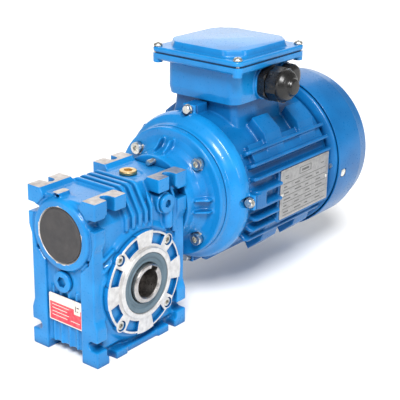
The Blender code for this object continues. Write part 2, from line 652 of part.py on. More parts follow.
def motor_frame():
    frame = rod("motor_frame", FRAME_R, FRAME_START_X, FRAME_END_X, WORM_AXIS, "+X", "enamel",
                steps=48)
    bm = bmesh.new()
    length = FRAME_END_X - FRAME_START_X - 0.008
    for angle in fin_angles():
        matrix = (Matrix.Translation((FRAME_START_X + 0.004 + length / 2, 0, WORM_Z))
                  @ Matrix.Rotation(angle, 4, "X")
                  @ Matrix.Translation((0, (FRAME_R + FIN_R) / 2 - 0.001, 0))
                  @ Matrix.Diagonal((length, FIN_R - FRAME_R + 0.002, 0.0028)).to_4x4())
        bmesh.ops.create_cube(bm, size=1.0, matrix=matrix)
    fins = place("frame_fins", mesh_from(bm, "frame_fins"), None)
    bm = bmesh.new()
    for angle in corner_angles():
        for x in (0.1400, 0.1960):
            matrix = (Matrix.Translation((x, 0, WORM_Z)) @ Matrix.Rotation(angle, 4, "X")
                      @ Matrix.Translation((0, 0.0700, 0))
                      @ Matrix.Diagonal((0.0140, 0.0080, 0.0140)).to_4x4())
            bmesh.ops.create_cube(bm, size=1.0, matrix=matrix)
    foot_bosses = place("foot_bosses", mesh_from(bm, "foot_bosses"), None)
    pedestal = boxes("pedestal", [((0.1300, 0.1960), (-0.0350, 0.0350), (0.1600, 0.1880))])
    plate_pad = boxes("plate_pad", [((0.1500, 0.2370), (-0.0705, -0.0640), (0.0760, 0.1290))])
    join(frame, fins, foot_bosses, pedestal, plate_pad,
         *shield_lugs("frame_lug", FRAME_START_X, 0.1240))
    holes = [rod("frame_bore", FRAME_BORE_R, 0.1000, 0.2500, WORM_AXIS, "+X", steps=48),
             boxes("lead_way", [((0.1480, 0.1780), (-0.0150, 0.0150), (0.1600, 0.2000))])]
    for number, angle in enumerate(corner_angles(4, 0)):
        y, z = polar(SHIELD_BOLT_CIRCLE, angle)
        holes.append(rod(f"frame_thread_{number}", 0.0033, 0.1000, 0.1245,
                         (0, y, WORM_Z + z), "+X", steps=8))
    cut(frame, *holes)
    merge_flats(frame)
    return frame


def slot_bars(name, inner, outer, width, start, end, count=9):
    bm = bmesh.new()
    for number in range(count):
        matrix = (Matrix.Translation(((start + end) / 2, 0, WORM_Z))
                  @ Matrix.Rotation(2 * pi * number / count, 4, "X")
                  @ Matrix.Translation((0, (inner + outer) / 2, 0))
                  @ Matrix.Diagonal((end - start, outer - inner, width)).to_4x4())
        bmesh.ops.create_cube(bm, size=1.0, matrix=matrix)
    return place(name, mesh_from(bm, name), None)


def motor_inside():
    stator = turned("stator_core", [
        (0.0625, STATOR_END_X), (0.0625, STATOR_START_X), (0.0378, STATOR_START_X),
        (0.0378, STATOR_END_X)], "lamination", WORM_AXIS, "+X", steps=32)
    cut(stator, slot_bars("stator_slots", 0.0410, 0.0530, 0.0080, 0.120, 0.225))
    winding = turned("stator_winding", [
        (0.0545, 0.1277), (0.0545, 0.1135), (0.0400, 0.1135), (0.0400, 0.1277)],
        "copper", WORM_AXIS, "+X", steps=24)
    far_head = turned("winding_far_head", [
        (0.0545, 0.2320), (0.0545, 0.2173), (0.0400, 0.2173), (0.0400, 0.2320)],
        None, WORM_AXIS, "+X", steps=24)
    join(winding, slot_bars("winding_bars", 0.0413, 0.0527, 0.0074, 0.120, 0.225), far_head)
    turned("rotor_core", [
        (0.0345, 0.2230), (0.0345, 0.2170), (0.0372, 0.2170), (0.0372, 0.1280), (0.0345, 0.1280),
        (0.0345, 0.1220), (0.0260, 0.1220), (0.0260, 0.1270), (0.0153, 0.1270), (0.0153, 0.2180),
        (0.0260, 0.2180), (0.0260, 0.2230)], "aluminium", WORM_AXIS, "+X", steps=20, parent=ROTOR)
    shaft = turned("motor_shaft", [
        (0, 0.2880), (0.0080, 0.2880), (0.0080, 0.2600), (0.0097, 0.2590), (0.0097, 0.2370),
        (0.0150, 0.2360), (0.0150, 0.1140), (0.0097, 0.1120), (0.0097, 0.0930),
        (SHAFT_R, 0.0920), (SHAFT_R, SHAFT_START_X + 0.001), (SHAFT_R - 0.001, SHAFT_START_X),
        (0, SHAFT_START_X)], "steel", WORM_AXIS, "+X", steps=20, parent=ROTOR)
    cut(shaft, boxes("shaft_keyway", [((0.0487, 0.0663), (-0.0030, 0.0030),
                                       (WORM_Z + 0.0060, WORM_Z + 0.0150))]))
    boxes("shaft_key", [((0.0490, 0.0648), (-0.0027, 0.0027),
                         (WORM_Z + 0.0063, WORM_Z + 0.0120))], "steel", parent=ROTOR)
    for name, start, end in (("drive", 0.0960, 0.1100), ("fan", 0.2380, 0.2520)):
        turned(f"motor_bearing_{name}", [
            (BEARING_R, end), (BEARING_R, start), (0.0100, start), (0.0100, end)],
            "steel", WORM_AXIS, "+X", steps=20)


def fan_end():
    turned("fan_end_shield", [
        (0.0280, 0.2560), (0.0320, 0.2500), (0.0695, 0.2500), (0.0695, FRAME_END_X + GAP),
        (0.0640, FRAME_END_X + GAP), (0.0640, 0.2440), (0.0280, 0.2440),
        (0.0280, FRAME_END_X + GAP), (BEARING_R + GAP, FRAME_END_X + GAP),
        (BEARING_R + GAP, 0.2523), (0.0120, 0.2523), (0.0120, 0.2560)],
        "enamel", WORM_AXIS, "+X", steps=28)
    fan = turned("fan", [
        (0.0140, 0.2860), (0.0140, 0.2660), (0.0300, 0.2645), (0.0300, 0.2620), (0.0083, 0.2620),
        (0.0083, 0.2860)], "black_plastic", WORM_AXIS, "+X", steps=24, parent=ROTOR)
    join(fan, slot_bars("fan_blades", 0.0120, 0.0660, 0.0024, 0.2620, 0.2840, count=7))
    inner = FAN_COVER_R - SHEET
    bend = 0.012
    outer_arc = [(FAN_COVER_R - bend + bend * sin(a), FAN_COVER_END_X - bend + bend * cos(a))
                 for a in (radians(step) for step in (0, 45, 90))]
    inner_arc = [(inner - bend + bend * sin(a), FAN_COVER_END_X - SHEET - bend + bend * cos(a))
                 for a in (radians(step) for step in (90, 45, 0))]
    cover = turned("fan_cover", [(0, FAN_COVER_END_X), *outer_arc, (FAN_COVER_R, FAN_COVER_START_X),
                                 (inner, FAN_COVER_START_X), *inner_arc,
                                 (0, FAN_COVER_END_X - SHEET)],
                   "enamel", WORM_AXIS, "+X", steps=36)
    cut(cover, slot_bars("grille_slots", 0.0220, 0.0600, 0.0060, 0.295, 0.310, count=12))
    merge_flats(cover)
    return cover


# ---------------------------------------------------------------- terminal box

def lid_screw_places():
    return [(BOX_CENTRE_X + sx * LID_SCREW_X, sy * LID_SCREW_Y) for sx in (-1, 1) for sy in (-1, 1)]


def terminal_box():
    middle = (BOX_CENTRE_X, 0, 0)
    gland_axis = (BOX_CENTRE_X, 0, GLAND_Z)
    plug_axis = (PLUG_X, 0, GLAND_Z)
    body = slab("terminal_box", rounded_outline(BOX_HALF_X, BOX_HALF_Y, 0.010, 3), BOX_FLOOR_Z,
                RIM_TOP_Z, "enamel", middle)
    gasket = slab("lid_gasket", rounded_outline(RIM_HALF_X - 0.001, RIM_HALF_Y - 0.001, 0.005, 1),
                  RIM_TOP_Z + GAP, LID_Z - GAP, "rubber", middle)
    lid = slab("terminal_lid", rounded_outline(RIM_HALF_X, RIM_HALF_Y, 0.006, 2), LID_Z,
               LID_STEP_Z, "enamel", middle)
    bosses = [slab("box_rim", rounded_outline(RIM_HALF_X, RIM_HALF_Y, 0.006, 2), RIM_BOTTOM_Z,
                   RIM_TOP_Z, None, middle),
              rod("gland_boss", 0.0165, 0.0390, 0.0440, gland_axis, "-Y", steps=20),
              rod("plug_boss", 0.0135, 0.0390, 0.0440, plug_axis, "-Y", steps=20)]
    body_hollows = [
        slab("box_room", rounded_outline(BOX_HALF_X - 0.0035, BOX_HALF_Y - 0.0035, 0.007, 2),
             BOX_FLOOR_Z + 0.004, RIM_TOP_Z + 0.01, None, middle),
        boxes("box_lead_way", [((0.1480, 0.1780), (-0.0150, 0.0150), (0.1800, 0.2000))]),
        rod("gland_hole", 0.0103, 0.0300, 0.0500, gland_axis, "-Y", steps=16),
        rod("plug_hole", 0.0095, 0.0300, 0.0500, plug_axis, "-Y", steps=16)]
    gasket_hollows = [slab("gasket_hole",
                           rounded_outline(BOX_HALF_X - 0.002, BOX_HALF_Y - 0.002, 0.006, 1),
                           0.220, 0.230, None, middle)]
    lid_hollows = [slab("lid_room", plateau_outline(0.003), LID_Z - 0.001, LID_TOP_Z - 0.003, None,
                        middle)]
    for number, (x, y) in enumerate(lid_screw_places()):
        bosses.append(rod(f"box_screw_boss_{number}", 0.0055, 0.2130, 0.2240, (x, y, 0), "+Z",
                          steps=10))
        for hollows, low, high in ((body_hollows, 0.2150, 0.2300), (gasket_hollows, 0.2200, 0.2300),
                                   (lid_hollows, 0.2200, 0.2400)):
            hollows.append(rod(f"screw_hole_{low:.3f}_{high:.3f}_{number}", 0.0026, low, high,
                               (x, y, 0), "+Z", steps=8))
        screw(f"lid_screw_{number + 1}", (x, y, LID_STEP_Z + GAP), "+Z", 0.0042, 0.0030, 0.0023,
              0.0150)
    join(body, *bosses)
    cut(body, *body_hollows)
    cut(gasket, *gasket_hollows)
    join(lid, slab("lid_plateau", plateau_outline(0), LID_STEP_Z - 0.001, LID_TOP_Z, None, middle))
    cut(lid, *lid_hollows)
    merge_flats(body)
    return body


def terminal_board():
    board = boxes("terminal_board", [((0.1420, 0.1840), (-0.0220, 0.0220), (0.1980, 0.2020))], "board")
    fittings = [boxes("board_feet", [((0.1430, 0.1475), (-0.0200, 0.0200), (0.1926, 0.1990)),
                                     ((0.1785, 0.1830), (-0.0200, 0.0200), (0.1926, 0.1990))])]
    for row in (-1, 1):
        for column in (-1, 0, 1):
            fittings.append(rod(f"stud_{row}_{column}", 0.0022, 0.2000, 0.2100,
                                (BOX_CENTRE_X + row * 0.011, column * 0.014, 0), "+Z", steps=6))
    join(board, *fittings)
    return board


def plateau_outline(inset):
    """The lid's raised middle: a rectangle with its corners cut off for the screws."""
    half_x = 0.0460 - inset
    half_y = 0.0440 - inset
    cut_off = 0.0140
    corners = []
    for sx, sy, first in ((1, 1, "x"), (-1, 1, "y"), (-1, -1, "x"), (1, -1, "y")):
        pair = [(sx * half_x, sy * (half_y - cut_off)), (sx * (half_x - cut_off), sy * half_y)]
        corners += pair if first == "x" else pair[::-1]
    return corners


def cable_entries():
    turned("cable_gland", [
        (0.0110, 0.0600), (0.0110, 0.0525), (0.0150, 0.0515), (0.0150, 0.0443), (0.0100, 0.0443),
        (0.0100, 0.0330), (0.0070, 0.0330), (0.0070, 0.0600)],
        "black_plastic", (BOX_CENTRE_X, 0, GLAND_Z), "-Y", steps=18)
    turned("gland_nut", [
        (0, 0.0760), (0.0070, 0.0755), (0.0110, 0.0735), (0.0135, 0.0690), (0.0148, 0.0640),
        (0.0148, 0.0528), (0.0113, 0.0528), (0.0113, 0.0640), (0, 0.0640)],
        "black_plastic", (BOX_CENTRE_X, 0, GLAND_Z), "-Y", steps=18)
    turned("blanking_plug", [
        (0, 0.0560), (0.0105, 0.0555), (0.0125, 0.0530), (0.0125, 0.0443), (0.0090, 0.0443),
        (0.0090, 0.0330), (0, 0.0330)], "black_plastic", (PLUG_X, 0, GLAND_Z), "-Y", steps=18)


def motor_nameplate():
    boxes("motor_nameplate", [((0.1530, 0.2340), (-0.0716, -0.0708), (0.0785, 0.1265))], "grey_plate")


gear_housing()
output_cover()
output_parts()
wheel_rim()
worm_parts()
plugs_and_plate()
input_flange()
drive_end_shield()
motor_frame()
motor_inside()
fan_end()
terminal_box()
terminal_board()
cable_entries()
motor_nameplate()
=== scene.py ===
"""Looks of the worm gearmotor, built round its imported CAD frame.

Shapes are made in millimetres in the CAD's own axes: X along the worm and motor, -Y the side with
the bolted cover, Z up from the feet. They are scaled to metres when a piece is finished.
"""
from math import cos, hypot, pi, radians, sin

import bmesh
import bpy
from mathutils import Matrix, Vector


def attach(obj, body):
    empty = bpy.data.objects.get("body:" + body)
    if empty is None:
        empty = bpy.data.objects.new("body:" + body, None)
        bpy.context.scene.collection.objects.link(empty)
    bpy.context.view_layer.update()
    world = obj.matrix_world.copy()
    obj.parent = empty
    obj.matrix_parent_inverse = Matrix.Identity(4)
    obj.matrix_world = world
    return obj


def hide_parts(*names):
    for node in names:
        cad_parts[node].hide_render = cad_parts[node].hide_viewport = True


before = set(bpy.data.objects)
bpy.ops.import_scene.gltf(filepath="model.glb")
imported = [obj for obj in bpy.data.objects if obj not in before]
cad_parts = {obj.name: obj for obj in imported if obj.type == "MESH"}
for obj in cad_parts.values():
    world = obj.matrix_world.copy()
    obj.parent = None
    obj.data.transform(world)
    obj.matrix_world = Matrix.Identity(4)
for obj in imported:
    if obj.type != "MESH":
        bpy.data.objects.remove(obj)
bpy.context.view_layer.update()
MM = 0.001

# Sizes that the CAD holds, in millimetres
HALF_X = 57.0
HALF_Y = 38.3
HEIGHT = 145.5
TOP_Z = 141.5
OUTPUT_Z = 60.0
WORM_Z = 110.0
SLOT_WIDTH = 8.5
SLOT_BOTTOM_Y = 31.8
PAD_START = 20.0
RING_Y = 40.5
RING_R = 46.2
PILOT_R = 31.5
PILOT_Y = 43.0
CONE_TIP_Y = 36.0
COVER_SCREW_CIRCLE = 42.0
FRONT_PLUG_Z = 68.5
SIDE_PLUG_AXIS = (30.0, 0.0, 122.5)
FILLER_AXIS = (24.0, 0.0, 0.0)
FLANGE_R = 60.0
FLANGE_SEAT_X = HALF_X + 0.3
FLANGE_X = 86.0
FLANGE_SCREW_CIRCLE = 35.0
MOTOR_BOLT_CIRCLE = 50.0
MOTOR_BOLT_SEAT_X = 77.5
SHIELD_END_X = 108.0
SHIELD_BOLT_CIRCLE = 72.0
FRAME_START_X = 108.3
FRAME_END_X = 238.0
FRAME_R = 67.5
FIN_R = 76.5
PLATE_PAD_Y = -70.5
FAN_COVER_R = 79.0
FAN_COVER_END_X = 305.0
BOX_X = 163.0
BOX_FLOOR_Z = 188.3
BOX_RIM_Z = 225.5
GLAND_Z = 204.0
BLANK_PLUG_X = 192.5
WIRE_WINDOW = ((148, 178), (-15, 15))

# Radii of clearance and tapping holes, by what goes into them
M5_HOLE = 2.8
M6_HOLE = 3.3
OIL_PLUG_HOLE = 5.3
LID_SCREW_HOLE = 2.6

# Looks only: these sizes are not in the CAD
SKIN = 0.7
CAP_BOSS_CIRCLE = 33.5
CAP_BOSS_ANGLES = (81, -32, -148)
COWL_SCREW_X = 252.4
COWL_SCREW_TURN = radians(6.6)

# How far the blocks reach that cut a whole face flat
FAR = 200
ACROSS = (-90, 90)
TALL = (0, 250)
WORM_AXIS = (0.0, 0.0, WORM_Z)
OUTPUT_AXIS = (0.0, 0.0, OUTPUT_Z)

TURN = {
    "+X": Matrix.Rotation(pi / 2, 4, "Y"),
    "-X": Matrix.Rotation(-pi / 2, 4, "Y"),
    "+Y": Matrix.Rotation(-pi / 2, 4, "X"),
    "-Y": Matrix.Rotation(pi / 2, 4, "X"),
    "+Z": Matrix.Identity(4),
}
AXES = {"X": (1, 2, 0), "Y": (0, 2, 1), "Z": (0, 1, 2)}


# ---------------------------------------------------------------- shapes

def link(bm, name="shape"):
    """Make an object of a bmesh. A piece gets its own name when it is finished."""
    mesh = bpy.data.meshes.new(name)
    bmesh.ops.recalc_face_normals(bm, faces=bm.faces[:])
    bm.to_mesh(mesh)
    bm.free()
    thing = bpy.data.objects.new(name, mesh)
    bpy.context.scene.collection.objects.link(thing)
    return thing


def soften(profile, radius, steps=3, closed=False):
    """Round the corners of a run of points by up to that radius."""
    points = [Vector(point) for point in profile]
    count = len(points)
    result = []
    for k, point in enumerate(points):
        if not closed and k in (0, count - 1):
            result.append(tuple(point))
            continue
        before = points[k - 1] - point
        after = points[(k + 1) % count] - point
        reach = min(radius, 0.45 * before.length, 0.45 * after.length)
        first = point + before.normalized() * reach
        last = point + after.normalized() * reach
        for step in range(steps + 1):
            t = step / steps
            result.append(tuple(first * (1 - t) ** 2 + point * 2 * t * (1 - t) + last * t * t))
    return result


def lathe(profile, centre=(0, 0, 0), turn="+X", steps=96):
    """A turned solid from (radius, height) points. Off the axis the profile is a closed loop."""
    bm = bmesh.new()
    place = Matrix.Translation(centre) @ TURN[turn]
    rings = []
    for radius, height in profile:
        count = 1 if radius < 1e-6 else steps
        rings.append([bm.verts.new(place @ Vector((radius * cos(2 * pi * k / steps),
                                                   radius * sin(2 * pi * k / steps), height)))
                      for k in range(count)])
    pairs = list(zip(rings, rings[1:]))
    if profile[0][0] > 1e-6:
        pairs.append((rings[-1], rings[0]))
    for upper, lower in pairs:
        if len(upper) == len(lower) == 1:
            continue
        for k in range(steps):
            corners = [upper[k % len(upper)], upper[(k + 1) % len(upper)],
                       lower[(k + 1) % len(lower)], lower[k % len(lower)]]
            bm.faces.new(list(dict.fromkeys(corners)))
    return link(bm)


def rod(radius, start, end, centre=(0, 0, 0), turn="+Z", steps=32, tip=None):
    """A cylinder, or a cone when its far end has another radius."""
    tip = radius if tip is None else tip
    return lathe([(0, end), (tip, end), (radius, start), (0, start)], centre, turn, steps)


def prism(outline, axis, low, high):
    """An outline in the other two axes, drawn along one axis."""
    first, second, along = AXES[axis]
    bm = bmesh.new()
    rings = []
    for level in (low, high):
        ring = []
        for a, b in outline:
            place = [0.0, 0.0, 0.0]
            place[first], place[second], place[along] = a, b, level
            ring.append(bm.verts.new(place))
        rings.append(ring)
    bm.faces.new(rings[0])
    bm.faces.new(rings[1][::-1])
    for k in range(len(outline)):
        following = (k + 1) % len(outline)
        bm.faces.new((rings[0][k], rings[0][following], rings[1][following], rings[1][k]))
    return link(bm)


def loft(rings):
    """A closed solid through rings of the same number of points."""
    bm = bmesh.new()
    rows = [[bm.verts.new(point) for point in ring] for ring in rings]
    bm.faces.new(rows[0])
    bm.faces.new(rows[-1][::-1])
    for lower, upper in zip(rows, rows[1:]):
        for k, corner in enumerate(lower):
            following = (k + 1) % len(lower)
            bm.faces.new((corner, lower[following], upper[following], upper[k]))
    return link(bm)


def box(x, y, z):
    """A block from its three spans."""
    spans = [tuple(sorted(span)) for span in (x, y, z)]
    (x0, x1), (y0, y1), (z0, z1) = spans
    return prism([(x0, y0), (x1, y0), (x1, y1), (x0, y1)], "Z", z0, z1)


def turned_box(size, centre, axis, angle, offset):
    """A box of that size, moved out by offset and then turned about an axis line."""
    thing = box(*[(-extent / 2, extent / 2) for extent in size])
    thing.data.transform(Matrix.Translation(centre) @ Matrix.Rotation(angle, 4, axis)
                         @ Matrix.Translation(offset))
    return thing


def placing(seat, turn):
    """Moves what was drawn upwards from the origin to a seat that faces that way."""
    return Matrix.Translation(seat) @ TURN[turn]


def rounded(half_x, half_y, corner, steps=6):
    """The outline of a rectangle with round corners."""
    points = []
    for quarter in range(4):
        sign_x = 1 if quarter in (0, 3) else -1
        sign_y = 1 if quarter < 2 else -1
        for step in range(steps + 1):
            angle = pi / 2 * (quarter + step / steps)
            points.append((sign_x * (half_x - corner) + corner * cos(angle),
                           sign_y * (half_y - corner) + corner * sin(angle)))
    return points


def settle(target):
    """Apply the modifiers."""
    graph = bpy.context.evaluated_depsgraph_get()
    mesh = bpy.data.meshes.new_from_object(target.evaluated_get(graph))
    target.modifiers.clear()
    target.data = mesh


def combine(target, operation, tools):
    group = bpy.data.collections.new("tools")
    bpy.context.scene.collection.children.link(group)
    for tool in tools:
        bpy.context.scene.collection.objects.unlink(tool)
        group.objects.link(tool)
    step = target.modifiers.new("Step", "BOOLEAN")
    step.operation = operation
    step.operand_type = "COLLECTION"
    step.collection = group
    step.solver = "MANIFOLD"
    settle(target)
    for tool in tools:
        bpy.data.objects.remove(tool)
    bpy.data.collections.remove(group)
    return target


def join(target, tools):
    return combine(target, "UNION", tools)


def cut(target, tools):
    return combine(target, "DIFFERENCE", tools)


def cast(target, voxel, passes):
    """Round every edge and corner, as on a casting under paint."""
    remesh = target.modifiers.new("Cast", "REMESH")
    remesh.mode = "VOXEL"
    remesh.voxel_size = voxel
    relax = target.modifiers.new("Relax", "SMOOTH")
    relax.factor = 0.5
    relax.iterations = passes
    settle(target)
    return target


def thin_out(target, ratio):
    """Keep that share of the faces."""
    step = target.modifiers.new("Thin out", "DECIMATE")
    step.ratio = ratio
    settle(target)


def merged(things):
    """One object out of several that do not touch."""
    bm = bmesh.new()
    for thing in things:
        bm.from_mesh(thing.data)
        bpy.data.objects.remove(thing)
    return link(bm)


def hexagon(across_flats):
    radius = across_flats / 2 / cos(pi / 6)
    return [(radius * cos(pi / 6 + k * pi / 3), radius * sin(pi / 6 + k * pi / 3)) for k in range(6)]


def quarters(first=pi / 4):
    """Four angles, a quarter turn apart."""
    return [first + 2 * pi * k / 4 for k in range(4)]


def worm_circle(radius, angle, x=0.0):
    """A point round the worm axis, at an angle from +Y."""
    return x, radius * cos(angle), WORM_Z + radius * sin(angle)


def output_circle(radius, angle, y=0.0):
    """A point round the output axis, at an angle from +X."""
    return radius * cos(angle), y, OUTPUT_Z + radius * sin(angle)


def output_sector(inner, outer, angles):
    """The outline in X and Z of part of a flat ring round the output axis."""
    outline = [(outer * cos(a), OUTPUT_Z + outer * sin(a)) for a in angles]
    return outline + [(inner * cos(a), OUTPUT_Z + inner * sin(a)) for a in reversed(angles)]


# ---------------------------------------------------------------- materials

class Surface:
    """A Principled material with short calls for its nodes."""

    def __init__(self, name):
        self.material = bpy.data.materials.new(name)
        self.material.use_nodes = True
        self.tree = self.material.node_tree
        self.shader = self.tree.nodes["Principled BSDF"]
        self.place = self.node("ShaderNodeTexCoord").outputs["Object"]

    def node(self, kind, **settings):
        made = self.tree.nodes.new(kind)
        for key, value in settings.items():
            setattr(made, key, value)
        return made

    def feed(self, socket, value):
        if isinstance(value, bpy.types.NodeSocket):
            self.tree.links.new(value, socket)
        elif isinstance(value, tuple) and len(value) == 3 and socket.type == "RGBA":
            socket.default_value = (*value, 1.0)
        else:
            socket.default_value = value

    def set(self, **values):
        for key, value in values.items():
            self.feed(self.shader.inputs[key.replace("_", " ")], value)

    def noise(self, size_mm, detail=3.0, stretch=None, roughness=0.5):
        """Noise whose features are about that size."""
        made = self.node("ShaderNodeTexNoise")
        made.inputs["Scale"].default_value = 1.0 / (size_mm * MM)
        made.inputs["Detail"].default_value = detail
        made.inputs["Roughness"].default_value = roughness
        self.feed(made.inputs["Vector"], self.stretched(stretch) if stretch else self.place)
        return made.outputs["Fac"]

    def stretched(self, factors):
        mapping = self.node("ShaderNodeMapping")
        mapping.inputs["Scale"].default_value = factors
        self.feed(mapping.inputs["Vector"], self.place)
        return mapping.outputs["Vector"]

    def span(self, value, low, high, to_low=0.0, to_high=1.0):
        made = self.node("ShaderNodeMapRange")
        for key, number in (("Value", value), ("From Min", low), ("From Max", high),
                            ("To Min", to_low), ("To Max", to_high)):
            self.feed(made.inputs[key], number)
        return made.outputs["Result"]

    def mix(self, amount, first, second):
        made = self.node("ShaderNodeMix", data_type="RGBA")
        self.feed(made.inputs[0], amount)
        self.feed(made.inputs[6], first)
        self.feed(made.inputs[7], second)
        return made.outputs[2]

    def math(self, operation, first, second=0.0):
        made = self.node("ShaderNodeMath", operation=operation)
        self.feed(made.inputs[0], first)
        self.feed(made.inputs[1], second)
        return made.outputs[0]

    def rings(self, centre, axis):
        """Distance from an axis line, in metres."""
        apart = self.node("ShaderNodeSeparateXYZ")
        self.feed(apart.inputs[0], self.place)
        others = [k for k in range(3) if k != "XYZ".index(axis)]
        squares = []
        for k in others:
            away = self.math("SUBTRACT", apart.outputs[k], centre[k] * MM)
            squares.append(self.math("MULTIPLY", away, away))
        return self.math("SQRT", self.math("ADD", *squares))

    def clouded(self, first, second, size_mm, detail, low, high):
        """Two colours that noise of that size mixes."""
        return self.mix(self.span(self.noise(size_mm, detail), low, high), first, second)

    def uneven(self, low, high, size_mm, detail):
        """A roughness that noise of that size moves between two values."""
        return self.span(self.noise(size_mm, detail), 0.3, 0.7, low, high)

    def bump(self, *layers):
        """Layers of (height, distance in mm), added one over another."""
        normal = None
        for height, distance in layers:
            made = self.node("ShaderNodeBump")
            made.inputs["Distance"].default_value = distance * MM
            self.feed(made.inputs["Height"], height)
            if normal is not None:
                self.feed(made.inputs["Normal"], normal)
            normal = made.outputs["Normal"]
        self.feed(self.shader.inputs["Normal"], normal)


# Colour of painted shade: the enamel darkens towards it in corners, creases and hollows
ENAMEL_PAINTED_SHADE = (0.002, 0.055, 0.190)


def enamel(name="enamel", light=(0.006, 0.245, 0.610), deep=(0.004, 0.190, 0.500), gloss=0.30):
    """Blue paint, with painted shade darkening it in corners and hollows."""
    made = Surface(name)
    # Ambient occlusion makes the mask of painted shade, so corners and hollows are darkened in the
    # base colour
    painted_shade_ao = made.node("ShaderNodeAmbientOcclusion", samples=4)
    painted_shade_ao.inputs["Distance"].default_value = 11.0 * MM
    shade = made.clouded(deep, light, 28.0, 2.0, 0.35, 0.68)
    corner = made.span(painted_shade_ao.outputs["AO"], 0.30, 0.85)
    made.set(Base_Color=made.mix(corner, ENAMEL_PAINTED_SHADE, shade),
             Roughness=made.uneven(0.26, 0.38, 2.2, 2.0), Specular_IOR_Level=0.28,
             Coat_Weight=gloss, Coat_Roughness=0.06)
    made.bump((made.noise(8.0, 2.0), 0.12), (made.noise(1.8, 1.0), 0.012))
    return made.material


def metal(name, colour, dark, low, high, grain_mm=0.5, stretch=None, spots=None, bump_mm=0.01):
    """Bare or plated metal, with spots of another colour where it is stained."""
    made = Surface(name)
    grain = made.noise(grain_mm, 2.0, stretch)
    shade = made.clouded(dark, colour, 9.0, 3.0, 0.3, 0.7)
    if spots:
        shade = made.clouded(shade, spots, 2.4, 4.0, 0.60, 0.70)
    made.set(Base_Color=shade, Metallic=1.0, Roughness=made.span(grain, 0.3, 0.7, low, high))
    made.bump((grain, bump_mm))
    return made.material


def machined(name, centre, axis, colour=(0.80, 0.77, 0.73), dark=(0.62, 0.59, 0.56), pitch=0.35,
             low=0.34, high=0.52, metallic=0.75):
    """Bare metal with the fine rings that a turning or milling tool leaves."""
    made = Surface(name)
    radius = made.rings(centre, axis)
    turn = made.math("SINE", made.math("MULTIPLY", radius, 2 * pi / (pitch * MM)))
    cloud = made.noise(5.0, 4.0)
    made.set(Base_Color=made.mix(made.span(cloud, 0.35, 0.65), dark, colour), Metallic=metallic,
             Roughness=made.uneven(low, high, 0.8, 2.0))
    made.bump((turn, 0.006), (cloud, 0.02))
    return made.material


def plastic(name, colour, worn, low, high):
    """Rubber or plastic, a little paler where it is worn."""
    made = Surface(name)
    made.set(Base_Color=made.clouded(colour, worn, 11.0, 3.0, 0.35, 0.7),
             Roughness=made.uneven(low, high, 3.0, 3.0))
    made.bump((made.noise(0.7, 2.0), 0.012))
    return made.material


ENAMEL = enamel()
# The motor's enamel is a darker copy of the gearbox blue: painted shade for the motor, which lies
# more in shadow
MOTOR_ENAMEL_PAINTED_SHADE = enamel("enamel_motor_painted_shade", light=(0.003, 0.145, 0.400), deep=(0.002, 0.112, 0.325),
                      gloss=0.10)
PAD_METAL = machined("pad_metal", (0, 0, 0), "Z", colour=(0.58, 0.54, 0.51),
                     dark=(0.43, 0.39, 0.37), pitch=1.1)
RING_METAL = machined("ring_metal", OUTPUT_AXIS, "Y", colour=(0.76, 0.75, 0.74),
                      dark=(0.60, 0.59, 0.58))
BOSS_METAL = machined("boss_metal", WORM_AXIS, "X")
SHAFT_STEEL = machined("shaft_steel", OUTPUT_AXIS, "Y", colour=(0.60, 0.58, 0.56),
                       dark=(0.40, 0.38, 0.37), low=0.24, high=0.38, metallic=1.0)
STEEL = metal("inner_steel", (0.62, 0.61, 0.60), (0.48, 0.47, 0.46), 0.22, 0.36)
ZINC = metal("zinc_plate", (0.78, 0.77, 0.72), (0.60, 0.59, 0.55), 0.24, 0.42,
             spots=(0.55, 0.50, 0.40))
BRASS = metal("brass", (0.80, 0.58, 0.28), (0.58, 0.40, 0.18), 0.26, 0.42,
              spots=(0.40, 0.27, 0.12))
BRONZE = metal("cast_bronze", (0.66, 0.42, 0.19), (0.48, 0.29, 0.12), 0.30, 0.48, grain_mm=0.9)
COPPER = metal("winding", (0.62, 0.27, 0.12), (0.40, 0.15, 0.06), 0.32, 0.5,
               stretch=(0.15, 1.0, 1.0), bump_mm=0.10)
LAMINATION = metal("lamination", (0.30, 0.30, 0.32), (0.20, 0.20, 0.22), 0.42, 0.6,
                   stretch=(3.0, 0.1, 0.1), bump_mm=0.05)
ROTOR_CAST = metal("rotor_cast", (0.70, 0.70, 0.70), (0.52, 0.52, 0.52), 0.34, 0.5)
CAP_RUBBER = plastic("cap_rubber", (0.040, 0.038, 0.040), (0.054, 0.050, 0.050), 0.55, 0.70)
SEAL_RUBBER = plastic("seal_rubber", (0.085, 0.135, 0.170), (0.105, 0.160, 0.200), 0.42, 0.58)
# The gasket's very dark blue is painted shade for the narrow gap between the lid and the box rim
GASKET_PAINTED_SHADE = plastic("gasket_rubber_painted_shade", (0.006, 0.040, 0.110), (0.010, 0.055, 0.140), 0.45, 0.65)
BLACK = plastic("black_plastic", (0.006, 0.006, 0.006), (0.012, 0.011, 0.011), 0.24, 0.36)
BOARD = plastic("board_resin", (0.10, 0.045, 0.025), (0.14, 0.065, 0.035), 0.4, 0.55)


# ---------------------------------------------------------------- finishing

def piece(thing, name, nodes, materials, choose=None, sharp=38, body="gearmotor"):
    """Scale a shape to metres, paint it and hand it to the frame.

    choose gives the number of a face's material, from its centre and normal in millimetres.
    """
    thing.name = name
    mesh = thing.data
    mesh.name = name
    picks = [choose(face.center, face.normal) if choose else 0 for face in mesh.polygons]
    mesh.materials.clear()
    for material in materials:
        mesh.materials.append(material)
    mesh.polygons.foreach_set("material_index", picks)
    mesh.transform(Matrix.Scale(MM, 4))
    mesh.polygons.foreach_set("use_smooth", [True] * len(mesh.polygons))
    mesh.set_sharp_from_angle(angle=radians(sharp))
    mesh.update()
    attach(thing, body)
    if nodes:
        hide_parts(*nodes)


def around(point, centre, axis):
    """Distance from an axis line."""
    others = [k for k in range(3) if k != "XYZ".index(axis)]
    return hypot(*(point[k] - centre[k] for k in others))


# ---------------------------------------------------------------- gear housing

